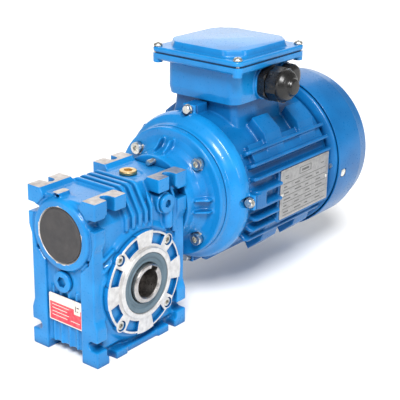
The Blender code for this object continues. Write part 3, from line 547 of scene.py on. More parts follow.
def slot_cuts():
    cuts = []
    inside = SLOT_WIDTH / 2
    for side in (-1, 1):
        bottom, past = side * SLOT_BOTTOM_Y, side * (HALF_Y + 3)
        for end in (-1, 1):
            outer, inner = end * (HALF_X + 3), end * (HALF_X - 12.5)
            for z in (19.0, HEIGHT - 19.0):
                cuts.append(box((outer, inner), (bottom, past), (z - inside, z + inside)))
                cuts.append(rod(inside, *sorted((outer, inner)), (0, bottom, z), "+X"))
            x = end * (HALF_X - 19.0)
            for low, high in ((-3.0, 7.0), (HEIGHT - 12.5, HEIGHT + 3.0)):
                cuts.append(box((x - inside, x + inside), (bottom, past), (low, high)))
                cuts.append(rod(inside, low, high, (x, bottom, 0), "+Z"))
    return cuts


def ring_pockets(side, floor):
    """Eight painted pockets in an output face, two between each pair of solid pads."""
    cuts = []
    for quarter in range(4):
        for low, high in ((13.5, 35.5), (54.5, 76.5)):
            angles = [radians(90 * quarter + low + (high - low) * k / 6) for k in range(7)]
            cuts.append(prism(output_sector(34.0, 43.5, angles), "Y",
                              *sorted((side * floor, side * 50))))
    return cuts


def housing_body():
    full = (-SKIN, HEIGHT + SKIN)
    core = prism([(-26, 5), (26, 5), (32.5, 12), (32.5, 121), (22, 138.5), (20, TOP_Z), (-20, TOP_Z),
                  (-22, 138.5), (-32.5, 121), (-32.5, 12)], "X", -50, 50)
    solids = [
        box((-53.5, -44), (-22, 22), (8, TOP_Z)),
        box((44, HALF_X), (-31, 31), (5, TOP_Z)),
        box((-50, 50), (-36.6, -20), (-SKIN, 5.8)),
        box((-50, 50), (20, 36.6), (-SKIN, 5.8)),
        lathe(soften([(0, 58.5), (30.2, 58.5), (31.2, 56.5), (32.5, 44), (0, 44)], 1.0),
              WORM_AXIS, "-X"),
        rod(11.6, 44, 54.6, (0, 0, FRONT_PLUG_Z), "-X"),
        rod(11.0, 130, TOP_Z + 0.5, FILLER_AXIS, "+Z"),
        lathe([(0, RING_Y), (RING_R, RING_Y), (RING_R, 34), (0, 34)], OUTPUT_AXIS, "+Y"),
    ]
    for side in (-1, 1):
        outline = [(side * y, z) for y, z in (
            (20, full[0]), (HALF_Y, full[0]), (HALF_Y, 35), (37.3, 38), (35.4, 43), (35.4, 102),
            (37.3, 107), (HALF_Y, 110), (HALF_Y, full[1]), (24.5, full[1]), (20, 140.5))]
        for end in (-1, 1):
            solids.append(prism(outline, "X", *sorted((end * 45, end * HALF_X))))
            solids.append(box((end * PAD_START, end * HALF_X), (side * 21.3, side * HALF_Y),
                              (-SKIN, 7)))
            shelf = [(side * y, z) for y, z in ((20, 133), (20, 140.5), (24.5, full[1]),
                                                (HALF_Y, full[1]), (HALF_Y, 133.5))]
            solids.append(prism(shelf, "X", *sorted((end * PAD_START, end * HALF_X))))
        turn = "-Y" if side < 0 else "+Y"
        solids.append(rod(56, 30, CONE_TIP_Y, OUTPUT_AXIS, turn, 96, tip=48.2))
        # casting ledges between the front plate and the cone
        for z, tilt in ((95, 24), (85, 30), (75, 36)):
            solids.append(turned_box((15, 6.5, 3.0), (-42, side * 33.8, z), "Y", radians(-tilt),
                                     (3, 0, 0)))
    for x in (-16.5, -8.5, -0.5, 7.5):
        outline = [(-36.0, 110), (-36.0, 122), (-24.2, 143.2), (-20.5, 145.0), (20.5, 145.0),
                   (24.2, 143.2), (36.0, 122), (36.0, 110)]
        solids.append(prism(outline, "X", x - 2.0, x + 2.0))
    # a web beside the fins, the side plug's boss, a narrow upright boss and the wall behind it
    solids.append(prism([(-30, 100), (-36.6, 106), (-36.6, 124), (-30, 136)], "X", 12.2, 15.0))
    solids.append(rod(9.8, 28, 36.6, SIDE_PLUG_AXIS, "-Y"))
    solids.append(lathe(soften([(0, 119), (5.6, 119), (5.6, 98), (0, 98)], 1.5),
                        (35.5, -33.5, 0), "+Z", 32))
    solids.append(prism([(-35.8, 92), (-30, 92), (-30, 136), (-31.5, 134), (-35.8, 126)], "X",
                        41.5, 46))
    cap_bosses = [worm_circle(CAP_BOSS_CIRCLE, radians(angle)) for angle in CAP_BOSS_ANGLES]
    solids += [rod(4.4, 44, 57.4, centre, "-X") for centre in cap_bosses]
    for y in (-13.5, -4.8, 4.8, 13.5):
        solids.append(box((-55.6, -50), (y - 1.4, y + 1.4), (9, 61)))
    join(core, solids)
    hollows = slot_cuts()
    for low, high in ((-60, -8), (8, 60)):
        hollows.append(prism([(-20, -3), (20, -3), (15, 8.5), (-15, 8.5)], "X", low, high))
    hollows += [rod(2.0, 48, 60, centre, "-X", 20) for centre in cap_bosses]
    hollows.append(lathe([(34.2, 60), (34.2, 55.0), (31.3, 55.0), (31.3, 60)], WORM_AXIS,
                         "-X"))
    hollows += ring_pockets(1, 38.2)
    cut(core, hollows)
    return cast(core, 0.75, 14)


def gear_housing():
    housing = housing_body()
    pilot = lathe([(PILOT_R, PILOT_Y), (PILOT_R, 37), (26, 37), (26, PILOT_Y)],
                  OUTPUT_AXIS, "+Y")
    join(housing, [pilot])
    chamber = lathe([
        (0, 60), (27.1, 60), (27.1, 35.5), (24, 35.5), (24, 34), (27.8, 34), (27.8, 24), (38, 24),
        (38, -45), (0, -45)], OUTPUT_AXIS, "+Y")
    worm_way = lathe([
        (0, 65), (23.8, 65), (23.8, 37.7), (20, 37.7), (20, -37.7), (23.8, -37.7), (23.8, -52),
        (25.3, -52), (25.3, -54), (23.8, -54), (23.8, -57.5), (24.9, -58.6), (24.9, -65), (0, -65)],
        WORM_AXIS, "+X")
    wide = (-FAR, FAR)
    faces = [box(wide, wide, (HEIGHT, FAR)), box(wide, wide, (-FAR, 0)),
             box(wide, (RING_Y - 0.15, FAR), wide)]
    pilot_room = lathe([(PILOT_R, 400), (PILOT_R, 30), (0, 30), (0, 400)], OUTPUT_AXIS, "+Y")
    cut(faces[2], [pilot_room])
    holes = [rod(OIL_PLUG_HOLE, 30, 60, (0, 0, FRONT_PLUG_Z), "-X"),
             rod(OIL_PLUG_HOLE, 10, 40, SIDE_PLUG_AXIS, "-Y"),
             rod(OIL_PLUG_HOLE, 120, 146, FILLER_AXIS, "+Z")]
    for angle in quarters():
        for turn in ("-Y", "+Y"):
            holes.append(rod(M5_HOLE, 24, 45, output_circle(COVER_SCREW_CIRCLE, angle), turn, 20))
    for angle in quarters(0):
        holes.append(rod(M5_HOLE, 47, 62, worm_circle(FLANGE_SCREW_CIRCLE, angle), "+X", 20))
    cut(housing, [chamber, worm_way, *faces, *holes])

    def choose(point, normal):
        if point.z > HEIGHT - 0.02 or point.z < 0.02:
            return 1
        if point.y > RING_Y - 0.2 and normal.y > 0.9:
            return 2
        if around(point, OUTPUT_AXIS, "Y") < 38.05 and point.z < 99:
            return 2
        if around(point, WORM_AXIS, "X") < 25.2:
            return 3
        return 0

    thin_out(housing, 0.5)
    piece(housing, "gear_housing_casting", ["gear_housing"],
          [ENAMEL, PAD_METAL, RING_METAL, BOSS_METAL], choose)


def cover_ring():
    cover = lathe([
        (PILOT_R - 0.6, PILOT_Y), (PILOT_R, PILOT_Y - 0.6), (PILOT_R, RING_Y), (44.9, RING_Y),
        (45.4, RING_Y - 0.5), (45.4, 36.3), (37.7, 36.3), (37.7, 24), (27.8, 24), (27.8, 34),
        (24, 34), (24, 35.5), (27.1, 35.5), (27.1, PILOT_Y - 0.5), (27.6, PILOT_Y)],
        OUTPUT_AXIS, "-Y", 144)
    lugs, holes = [], ring_pockets(-1, 37.7)
    for angle in quarters():
        centre = output_circle(COVER_SCREW_CIRCLE, angle)
        lugs.append(lathe([(0, RING_Y), (5.4, RING_Y), (5.9, RING_Y - 0.5), (5.9, 36.3),
                           (0, 36.3)], centre, "-Y", 40))
        holes.append(rod(4.8, 38.0, 46, centre, "-Y", 40))
        holes.append(rod(M5_HOLE, 34, 46, centre, "-Y", 24))
    for quarter in range(4):
        angles = [radians(90 * quarter - 13 + 26 * k / 8) for k in range(9)]
        lugs.append(prism(output_sector(40, RING_R, angles), "Y", -RING_Y, -36.3))
    join(cover, lugs)
    cut(cover, holes)

    def choose(point, normal):
        if point.y < -RING_Y + 0.55 and normal.y < -0.3:
            return 1
        if around(point, OUTPUT_AXIS, "Y") < 32 and point.y < -37:
            return 1
        return 0 if point.y < -36.2 else 1

    piece(cover, "output_cover_ring", ["output_cover"],
          [ENAMEL, RING_METAL], choose, sharp=30)


# ---------------------------------------------------------------- screws

def socket_screw(name, node, seat, turn, head_r, head_h, shank_r, length, across):
    """A socket head cap screw, its head standing on the seat."""
    head = lathe(soften([(0, head_h), (head_r, head_h), (head_r, 0), (shank_r, 0),
                         (shank_r, -length), (0, -length)], 0.45, 2), seat, turn, 40)
    socket = prism(hexagon(across), "Z", head_h - 2.8, head_h + 1)
    socket.data.transform(placing(seat, turn))
    cut(head, [socket])
    piece(head, name, [node], [ZINC], sharp=35)


def hex_screw(name, nodes, seat, turn, across, head_h, washer_r, shank_r, length):
    """A hexagon screw with a washer face, as on the motor's end shield."""
    head = lathe([(0, 1.0), (washer_r, 1.0), (washer_r, 0), (shank_r, 0),
                  (shank_r, -length), (0, -length)], turn="+Z", steps=40)
    block = prism(hexagon(across), "Z", 0.5, head_h)
    crown = lathe([(0, head_h), (across * 0.47, head_h), (across * 0.60, head_h - 1.0),
                   (across * 0.60, -1), (0, -1)], turn="+Z", steps=40)
    combine(block, "INTERSECT", [crown])
    join(head, [block])
    head.data.transform(placing(seat, turn))
    piece(head, name, nodes, [ZINC], sharp=35)


def cross_screw(name, node, seat, turn, head_r, head_h, shank_r, length):
    """A pan head screw with a cross recess."""
    head = lathe([(0, head_h), (head_r * 0.45, head_h * 0.97), (head_r * 0.8, head_h * 0.72),
                  (head_r, head_h * 0.25), (head_r, 0), (shank_r, 0), (shank_r, -length),
                  (0, -length)], seat, turn, 40)
    arms = []
    for long_side in (0, 1):
        half = [0.45, 0.45]
        half[long_side] = head_r * 0.55
        arm = box((-half[0], half[0]), (-half[1], half[1]), (head_h * 0.35, head_h + 1))
        arm.data.transform(placing(seat, turn) @ Matrix.Rotation(0.5, 4, "Z"))
        arms.append(arm)
    cut(head, arms)
    piece(head, name, [node], [ZINC], sharp=35)


def screws():
    for number, angle in enumerate(quarters(), 1):
        socket_screw(f"cover_cap_screw_{number}", f"cover_screw_{number}",
                     output_circle(COVER_SCREW_CIRCLE, angle, -38.3), "-Y", 3.9, 1.3, 2.5, 13.0, 4.0)
        socket_screw(f"motor_cap_screw_{number}", f"motor_bolt_{number}",
                     worm_circle(MOTOR_BOLT_CIRCLE, angle, 77.2), "-X", 5.4, 5.0, 3.0, 19.0, 5.2)
    for number, angle in enumerate(quarters(0), 1):
        socket_screw(f"flange_cap_screw_{number}", f"flange_screw_{number}",
                     worm_circle(FLANGE_SCREW_CIRCLE, angle, 65.3), "+X", 4.2, 4.2, 2.5, 16.0, 4.2)
        hex_screw(f"shield_hex_screw_{number}", [f"shield_bolt_{number}"],
                  worm_circle(SHIELD_BOLT_CIRCLE, angle, 105.2), "-X", 7.6, 4.2, 4.8, 3.0, 18.0)


# ---------------------------------------------------------------- output side and plugs

def output_side():
    for name, turn in (("near", "-Y"), ("far", "+Y")):
        seal = lathe(soften([
            (26.8, 42.2), (26.8, 35.8), (17.8, 35.8), (17.8, 40.3), (18.6, 41.2), (19.8, 41.4),
            (20.6, 40.6), (22.2, 40.6), (23.0, 41.9), (25.2, 42.3)], 0.35, 2, closed=True),
            OUTPUT_AXIS, turn, 128)
        piece(seal, f"output_lip_seal_{name}", [f"output_seal_{name}"],
              [SEAL_RUBBER])
    end = 44.5
    shaft = lathe([
        (16.2, end), (17.2, end - 1.0), (17.2, 24), (25, 24), (25, -24), (17.2, -24),
        (17.2, 1.0 - end), (16.2, -end), (13.5, -end), (12.5, 1.0 - end), (12.5, end - 1.0),
        (13.5, end)], OUTPUT_AXIS, "-Y", 128)
    keyway = box((-4, 4), (-50, 50), (0, 15.8))
    keyway.data.transform(Matrix.Translation(OUTPUT_AXIS) @ Matrix.Rotation(radians(30), 4, "Y"))
    cut(shaft, [keyway])
    piece(shaft, "output_hollow_shaft", ["output_shaft"], [SHAFT_STEEL], body="output")
    cap = lathe(soften([(0, 58.7), (14, 58.75), (20.8, 59.0), (21.6, 59.3), (22.9, 59.3),
                        (23.5, 58.3), (23.5, 54.5), (21.5, 54.5), (21.5, 57.0), (0, 57.0)],
                       0.4, 2), WORM_AXIS, "-X", 128)
    piece(cap, "worm_end_cap", ["worm_cap"], [CAP_RUBBER])


def socket_plug(name, node, seat, turn, rim, height, across, material):
    """A screwed oil plug with a hexagon socket."""
    plug = lathe(soften([(0, height), (rim, height), (rim, 0), (5.0, 0), (5.0, -9.5), (0, -9.5)],
                        0.9, 3), seat, turn, 56)
    socket = prism(hexagon(across), "Z", 0.8, height + 1)
    socket.data.transform(placing(seat, turn))
    cut(plug, [socket])
    piece(plug, name, [node], [material], sharp=35)


def plugs():
    x, _, z = SIDE_PLUG_AXIS
    socket_plug("front_oil_plug", "front_plug", (-54.9, 0, FRONT_PLUG_Z), "-X", 9.4, 3.6, 8.6,
                ENAMEL)
    socket_plug("side_oil_plug", "side_plug", (x, -36.9, z), "-Y", 8.3, 3.2, 6.6, ENAMEL)
    socket_plug("filler_breather_plug", "filler_plug", (FILLER_AXIS[0], 0, TOP_Z + 0.8), "+Z",
                7.8, 3.0, 7.2, BRASS)


# ---------------------------------------------------------------- input flange and motor

def input_flange():
    flange = lathe(soften([
        (FLANGE_R, FLANGE_X), (FLANGE_R, 79.3), (59, 78.6), (53, 78.4), (46.2, 76.6), (42.6, 73.0),
        (40.2, 66.0), (39.6, FLANGE_SEAT_X), (23.5, FLANGE_SEAT_X), (23.5, 54.6), (16, 54.6),
        (16, 64), (33, 70), (40, 80), (40, FLANGE_X)], 0.5, 2), WORM_AXIS, "+X", 144)
    ribs = []
    for angle in (pi, 0.0, pi / 2, -pi / 2):
        for shift in (-5.6, 5.6):
            ribs.append(turned_box((14.0, 17.0, 2.0), (70.5, 0, WORM_Z), "X", angle,
                                   (0, 43.0, shift)))
    trim = lathe([(0, 85), (58, 85), (58, 78.2), (45, 66), (40, FLANGE_SEAT_X),
                  (0, FLANGE_SEAT_X)], WORM_AXIS, "+X", 96)
    fins = merged(ribs)
    combine(fins, "INTERSECT", [trim])
    join(flange, [fins])
    cast(flange, 0.7, 4)
    # the seat on the housing is cut flat all round the spigot that enters the worm bore
    before = (0, FLANGE_SEAT_X)
    holes = [box((FLANGE_X, 120), ACROSS, TALL), box(before, (24, 90), TALL),
             box(before, (-90, -24), TALL), box(before, ACROSS, (WORM_Z + 24, 250)),
             box(before, ACROSS, (0, WORM_Z - 24))]
    for angle in quarters(0):
        centre = worm_circle(FLANGE_SCREW_CIRCLE, angle)
        holes.append(rod(5.0, 65, 90, centre, "+X"))
        holes.append(rod(M5_HOLE, 50, 90, centre, "+X", 20))
    for angle in quarters():
        centre = worm_circle(MOTOR_BOLT_CIRCLE, angle)
        holes.append(rod(6.6, 66, MOTOR_BOLT_SEAT_X, centre, "+X", 40))
        holes.append(rod(M6_HOLE, 70, 90, centre, "+X", 20))
    cut(flange, holes)
    thin_out(flange, 0.5)

    def choose(point, _normal):
        to_bolt = min(around(point, worm_circle(MOTOR_BOLT_CIRCLE, a), "X") for a in quarters())
        on_seat = to_bolt < 6.7 and abs(point.x - MOTOR_BOLT_SEAT_X) < 0.02
        inside = around(point, WORM_AXIS, "X") < 39 and point.x > 60
        return 1 if on_seat or inside else 0

    piece(flange, "input_flange_casting", ["input_flange"],
          [ENAMEL, BOSS_METAL], choose)


def lug_blocks(start, end):
    """The blocks round the motor that take the shield screws."""
    return [turned_box((end - start, 10.0, 14.0), ((start + end) / 2, 0, WORM_Z), "X", angle,
                       (0, 71.5, 0)) for angle in quarters(0)]


def drive_end_shield():
    shield = lathe(soften([
        (69.5, SHIELD_END_X), (69.5, 102.2), (67.6, 97.0), (63.2, 93.4), (61.0, 90.5), (60.6, 86.3),
        (12, 86.3), (12, 95.7), (23.8, 95.7), (23.8, SHIELD_END_X), (28, SHIELD_END_X), (28, 99.5),
        (58, 99.5), (64, 104), (64, SHIELD_END_X)], 0.8, 3), WORM_AXIS, "+X", 144)
    join(shield, lug_blocks(104.9, SHIELD_END_X))
    cast(shield, 0.8, 4)
    holes = [box((SHIELD_END_X, 130), ACROSS, TALL), box((60, 86.3), ACROSS, TALL)]
    for angle in quarters(0):
        centre = worm_circle(SHIELD_BOLT_CIRCLE, angle)
        holes.append(rod(5.8, 90, 105.2, centre, "+X", 40))
        holes.append(rod(M6_HOLE, 90, 112, centre, "+X", 20))
    for angle in quarters():
        holes.append(rod(M6_HOLE, 80, 97, worm_circle(MOTOR_BOLT_CIRCLE, angle), "+X", 20))
    cut(shield, holes)
    thin_out(shield, 0.5)
    piece(shield, "drive_end_shield_casting", ["drive_end_shield"], [ENAMEL])


def fin_angles():
    """In degrees from +Y round the worm axis: four fins on each side of both side lugs, two below."""
    side = [sign * (5.5 + 9.5 * k) for sign in (-1, 1) for k in range(4)]
    low = [270 + sign * 11 for sign in (-1, 1)]
    return [centre + away for centre in (0, 180) for away in side] + low


def motor_frame():
    body = lathe([(0, FRAME_END_X), (FRAME_R, FRAME_END_X), (FRAME_R, FRAME_START_X),
                  (0, FRAME_START_X)], WORM_AXIS, "+X", 144)
    solids = []
    start, end = FRAME_START_X + 3, FRAME_END_X - 3
    for angle in fin_angles():
        c, s = cos(radians(angle)), sin(radians(angle))
        solids.append(loft([
            [(x, radius * c - half * s, WORM_Z + radius * s + half * c) for radius, half in
             ((FRAME_R - 2, 2.4), (tip, 1.5), (tip, -1.5), (FRAME_R - 2, -2.4))]
            for x, tip in ((start, FIN_R - 2.5), (start + 4, FIN_R), (end - 2, FIN_R),
                           (end, FIN_R - 1))]))
    block = [(66.5, 27), (58.5, 52.5), (44, 64.5), (36, 52), (58, 27)]
    for sign_y in (-1, 1):
        for sign_z in (-1, 1):
            outline = [(sign_y * y, WORM_Z + sign_z * z) for y, z in block]
            for x in (142.0, 195.0):
                solids.append(prism(outline, "X", x, x + 25))
            outline = [(sign_y * y, WORM_Z + sign_z * z) for y, z in
                       ((60, 30), (65, 33), (56, 46), (50, 40))]
            solids.append(prism(outline, "X", 120, 230))
    outline = [(150, 76), (237, 76), (237, 129), (150, 129)]
    solids.append(prism(soften(outline, 2, closed=True), "Y", PLATE_PAD_Y, -60))
    pedestal = [[(BOX_X + x, y, z) for x, y in rounded(hx, hy, 6)]
                for z, hx, hy in ((160, 38, 40), (176, 36.5, 36), (188.6, 36.5, 34.5))]
    solids.append(loft(pedestal))
    solids += lug_blocks(FRAME_START_X, 124.0) + lug_blocks(226.0, FRAME_END_X)
    join(body, solids)
    cast(body, 0.8, 4)
    holes = [rod(62.8, 100, 250, WORM_AXIS, "+X", 144),
             box(*WIRE_WINDOW, (160, 200)),
             box((100, FRAME_START_X), ACROSS, TALL), box((FRAME_END_X, 260), ACROSS, TALL),
             box((100, 260), ACROSS, (188, 250)), box((149, 238), (-90, PLATE_PAD_Y), (76, 129))]
    for angle in quarters(0):
        holes.append(rod(M6_HOLE, 100, 124.5, worm_circle(SHIELD_BOLT_CIRCLE, angle), "+X", 20))
    cut(body, holes)
    thin_out(body, 0.5)
    piece(body, "motor_frame_casting", ["motor_frame"], [MOTOR_ENAMEL_PAINTED_SHADE])


def fan_end():
    shield = lathe(soften([
        (28, 256), (32, 250), (76.6, 250), (76.6, 242.4), (75.4, 240.6), (69.5, 238.3),
        (64, 238.3), (64, 244), (28, 244), (28, 238.3), (23.8, 238.3), (23.8, 252.3), (12, 252.3),
        (12, 256)], 0.8, 2, closed=True),
        WORM_AXIS, "+X", 128)
    piece(shield, "fan_end_shield_casting", ["fan_end_shield"],
          [MOTOR_ENAMEL_PAINTED_SHADE])
    outer, inner, end = FAN_COVER_R, FAN_COVER_R - 1.6, FAN_COVER_END_X
    shape = [(outer, 243), (outer, 284), (outer - 2.2, 286), (outer - 4.4, 301), (outer - 9, end)]
    profile = soften([(0, end)] + shape[::-1] + [(inner, 243), (inner, 284), (inner - 2.2, 286),
                     (inner - 4.4, 300), (inner - 8, end - 1.6), (0, end - 1.6)], 1.6, 3)
    cover = lathe(profile, WORM_AXIS, "+X", 160)
    holes = []
    for radius, count in ((20, 8), (29, 12), (38, 16), (47, 20), (56, 24)):
        for k in range(count):
            holes.append(turned_box((20, 5, 2 * pi * radius / count - 3.2),
                                    (end, 0, WORM_Z), "X", 2 * pi * k / count, (0, radius, 0)))
    cut(cover, [merged(holes)])
    cut(cover, [turned_box((8.4, 2.0, 8.4), (COWL_SCREW_X, 0, WORM_Z), "X", angle, (0, 79.2, 0))
                for angle in quarters(COWL_SCREW_TURN)])
    piece(cover, "fan_cowl", ["fan_cover"], [MOTOR_ENAMEL_PAINTED_SHADE])
    for number, angle in enumerate(quarters(COWL_SCREW_TURN), 1):
        screw = lathe([(0, 0.35), (1.0, 0.35), (1.2, 0.74), (3.5, 0.72), (4.1, 0.3),
                       (4.1, 0), (1.4, 0), (1.4, -2.2), (0, -2.2)], turn="+Y", steps=32)
        screw.data.transform(Matrix.Translation((COWL_SCREW_X, 0, WORM_Z))
                             @ Matrix.Rotation(angle, 4, "X") @ Matrix.Translation((0, 78.2, 0)))
        piece(screw, f"cowl_screw_{number}", [], [ZINC])
    for number, angle in enumerate(quarters(0), 1):
        hex_screw(f"fan_shield_screw_{number}", [], worm_circle(70.6, angle, 242.3), "+X", 7.0, 3.4,
                  4.2, 2.4, 6.0)


def rotor_looks():
    blades = []
    for k in range(7):
        blades.append(turned_box((22, 52, 2.0), (273, 0, WORM_Z), "X", 2 * pi * k / 7,
                                 (0, 39.5, 0)))
    hub = lathe(soften([
        (14, 286), (14, 266), (30, 264.5), (64, 264.0), (64, 262), (8.3, 262), (8.3, 286)], 0.5, 2,
        closed=True), WORM_AXIS, "+X", 72)
    join(hub, blades)
    piece(hub, "cooling_fan", ["fan"], [BLACK], body="rotor")


# ---------------------------------------------------------------- terminal box

def ring_at(outline, z):
    return [(BOX_X + x, y, z) for x, y in outline]


def terminal_box():
    body = loft([ring_at(rounded(41.3, 39.8, 10), 187.5), ring_at(rounded(42.5, 41.0, 10), 195),
                 ring_at(rounded(42.5, 41.0, 10), BOX_RIM_Z)])
    solids = [loft([ring_at(rounded(49.5, 48.0, 6), 219.0), ring_at(rounded(52, 50.5, 6), 220.8),
                    ring_at(rounded(52, 50.5, 6), 226.2)]),
              rod(16.5, 38, 44.0, (BOX_X, 0, GLAND_Z), "-Y", 48),
              rod(13.5, 38, 44.0, (BLANK_PLUG_X, 0, GLAND_Z), "-Y", 48)]
    corners = [(BOX_X + sx * 47.2, sy * 45.5) for sx in (-1, 1) for sy in (-1, 1)]
    for x, y in corners:
        solids.append(rod(4.6, 216.5, 226.2, (x, y, 0), "+Z"))
    join(body, solids)
    cast(body, 0.7, 3)
    hollows = [loft([ring_at(rounded(39, 37.5, 7), 192.3), ring_at(rounded(39, 37.5, 7), 240)]),
               box(*WIRE_WINDOW, (180, 200)), box((60, 260), ACROSS, (BOX_RIM_Z, 250)),
               box((60, 260), ACROSS, (150, BOX_FLOOR_Z)),
               rod(10.3, 30, 50, (BOX_X, 0, GLAND_Z), "-Y"),
               rod(9.5, 30, 50, (BLANK_PLUG_X, 0, GLAND_Z), "-Y")]
    for x, y in corners:
        hollows.append(rod(LID_SCREW_HOLE, 215, 230, (x, y, 0), "+Z", 20))
    cut(body, hollows)
    thin_out(body, 0.6)
    piece(body, "terminal_box_casting", ["terminal_box"], [ENAMEL])

    lid = loft([ring_at(rounded(51.4, 49.9, 6), 226.6), ring_at(rounded(52, 50.5, 6), 227.4),
                ring_at(rounded(52, 50.5, 6), 230.6), ring_at(rounded(51.2, 49.7, 6), 231.5)])
    join(lid, [loft([ring_at(soften(plateau(0), 4.0, 4, closed=True), 230),
                     ring_at(soften(plateau(1.8), 4.0, 4, closed=True), 237.7)])])
    cast(lid, 0.7, 3)
    room = loft([ring_at(plateau(3), 220), ring_at(plateau(3), 234.5)])
    cuts = [room, box((60, 260), ACROSS, (200, 226.9)), box((60, 260), ACROSS, (237.5, 260))]
    for x, y in corners:
        cuts.append(rod(LID_SCREW_HOLE, 220, 240, (x, y, 0), "+Z", 20))
        cuts.append(rod(5.2, 231.5, 240, (x, y, 0), "+Z", 32))
    cut(lid, cuts)
    thin_out(lid, 0.5)
    piece(lid, "terminal_box_lid", ["terminal_lid"], [ENAMEL])
    for number, (x, y) in enumerate(corners, 1):
        cross_screw(f"lid_cross_screw_{number}", f"lid_screw_{number}", (x, y, 231.8), "+Z",
                    4.2, 3.0, 2.3, 15.0)


def plateau(inset):
    """The lid's raised middle: a rectangle with its corners cut off for the screws."""
    half_x, half_y, off = 46.0 - inset, 44.0 - inset, 14.0
    return [(half_x, half_y - off), (half_x - off, half_y), (off - half_x, half_y),
            (-half_x, half_y - off), (-half_x, off - half_y), (off - half_x, -half_y),
            (half_x - off, -half_y), (half_x, off - half_y)]


def knurled(radius, depth, count, low, high):
    outline = []
    for k in range(count * 2):
        angle = pi * k / count
        reach = radius if k % 2 else radius - depth
        outline.append((reach * cos(angle), reach * sin(angle)))
    return prism(outline, "Z", low, high)


def cable_entries():
    seat = placing((BOX_X, 0, GLAND_Z), "-Y")
    gland = lathe(soften([(11, 60), (11, 52.5), (11, 44.3), (10, 44.3), (10, 33), (7, 33),
                          (7, 60)], 0.3, 2, closed=True), turn="+Z", steps=64)
    nut = prism(hexagon(30.0), "Z", 44.5, 51.8)
    crown = lathe([(0, 52), (15.4, 52), (16.8, 50.8), (16.8, 45.2), (15.6, 44.3),
                   (0, 44.3)], turn="+Z", steps=64)
    combine(nut, "INTERSECT", [crown])
    cut(nut, [rod(8.0, 40, 60, turn="+Z")])
    join(gland, [nut])
    gland.data.transform(seat)
    piece(gland, "gland_body", ["cable_gland"], [BLACK])
    dome = lathe(soften([(0, 76.0), (6.4, 75.8), (7.6, 74.2), (8.4, 72.0), (12.2, 70.4),
                         (15.0, 66.0), (15.4, 62.0), (15.4, 52.8), (11.3, 52.8),
                         (11.3, 64), (0, 64)], 1.4, 3), turn="+Z", steps=72)
    grip = knurled(16.6, 1.5, 10, 53.4, 64.0)
    cut(grip, [rod(12.5, 50, 70, turn="+Z")])
    join(dome, [grip])
    dome.data.transform(seat)
    piece(dome, "gland_dome_nut", ["gland_nut"], [BLACK])
    plug = lathe(soften([(0, 55.6), (8.0, 55.4), (11.0, 54.4), (12.3, 52.0), (12.3, 44.3),
                         (9, 44.3), (9, 33), (0, 33)], 0.8, 3), turn="+Z", steps=72)
    grip = knurled(12.5, 0.7, 20, 44.8, 51.5)
    cut(grip, [rod(10.5, 40, 60, turn="+Z")])
    join(plug, [grip])
    plug.data.transform(placing((BLANK_PLUG_X, 0, GLAND_Z), "-Y"))
    piece(plug, "gland_blanking_plug", ["blanking_plug"], [BLACK])


# ---------------------------------------------------------------- plates

PLATE_THICKNESS = 0.8
PRINT_HEIGHTS = (0.07, 0.04, 0.10)  # so that no two fields lie in one plane


def plate(name, node, slot, half_u, half_v, fields, place, rivets=()):
    """A thin plate in its own (u, v) plane with raised printed fields, each (u0, u1, v0, v1, m)."""
    outline = [(-half_u, -half_v), (half_u, -half_v), (half_u, half_v), (-half_u, half_v)]
    marks = [(prism(soften(outline, 1.2, 4, closed=True), "Z", 0, PLATE_THICKNESS), 0)]
    for u0, u1, v0, v1, material in fields:
        top = PLATE_THICKNESS + PRINT_HEIGHTS[material]
        marks.append((box((u0, u1), (v0, v1), (PLATE_THICKNESS, top)), material))
    for u, v in rivets:
        head = lathe([(0, PLATE_THICKNESS + 0.9), (1.3, PLATE_THICKNESS + 0.7),
                      (2.0, PLATE_THICKNESS), (0, PLATE_THICKNESS)], (u, v, 0), "+Z", 20)
        marks.append((head, 3))
    bm = bmesh.new()
    for thing, material in marks:
        first = len(bm.faces)
        bm.from_mesh(thing.data)
        bm.faces.ensure_lookup_table()
        for face in bm.faces[first:]:
            face.material_index = material
        bpy.data.objects.remove(thing)
    made = link(bm)
    picks = [face.material_index for face in made.data.polygons]
    made.data.transform(place)
    piece(made, name, [node], PLATE_PAINTS[slot], sharp=30)
    made.data.polygons.foreach_set("material_index", picks)


def print_ink(name, colour, worn, metallic=0.0):
    """Flat ink or paint on a plate, worn in places."""
    made = Surface(name)
    made.set(Base_Color=made.clouded(colour, worn, 3.5, 4.0, 0.42, 0.72),
             Roughness=made.uneven(0.32, 0.5, 1.0, 2.0), Metallic=metallic)
    made.bump((made.noise(0.9, 2.0), 0.01))
    return made.material


PLATE_PAINTS = {
    "red_plate": [print_ink("plate_cream", (0.80, 0.74, 0.66), (0.70, 0.62, 0.55)),
                  print_ink("plate_red", (0.66, 0.030, 0.060), (0.72, 0.120, 0.130)),
                  print_ink("plate_dark", (0.07, 0.06, 0.06), (0.25, 0.20, 0.18)), ZINC],
    "grey_plate": [print_ink("plate_grey", (0.46, 0.45, 0.44), (0.34, 0.33, 0.33), metallic=0.6),
                   print_ink("plate_silver", (0.34, 0.34, 0.34), (0.26, 0.26, 0.26), metallic=0.4),
                   print_ink("plate_ink", (0.07, 0.07, 0.07), (0.13, 0.13, 0.13)), ZINC],
}


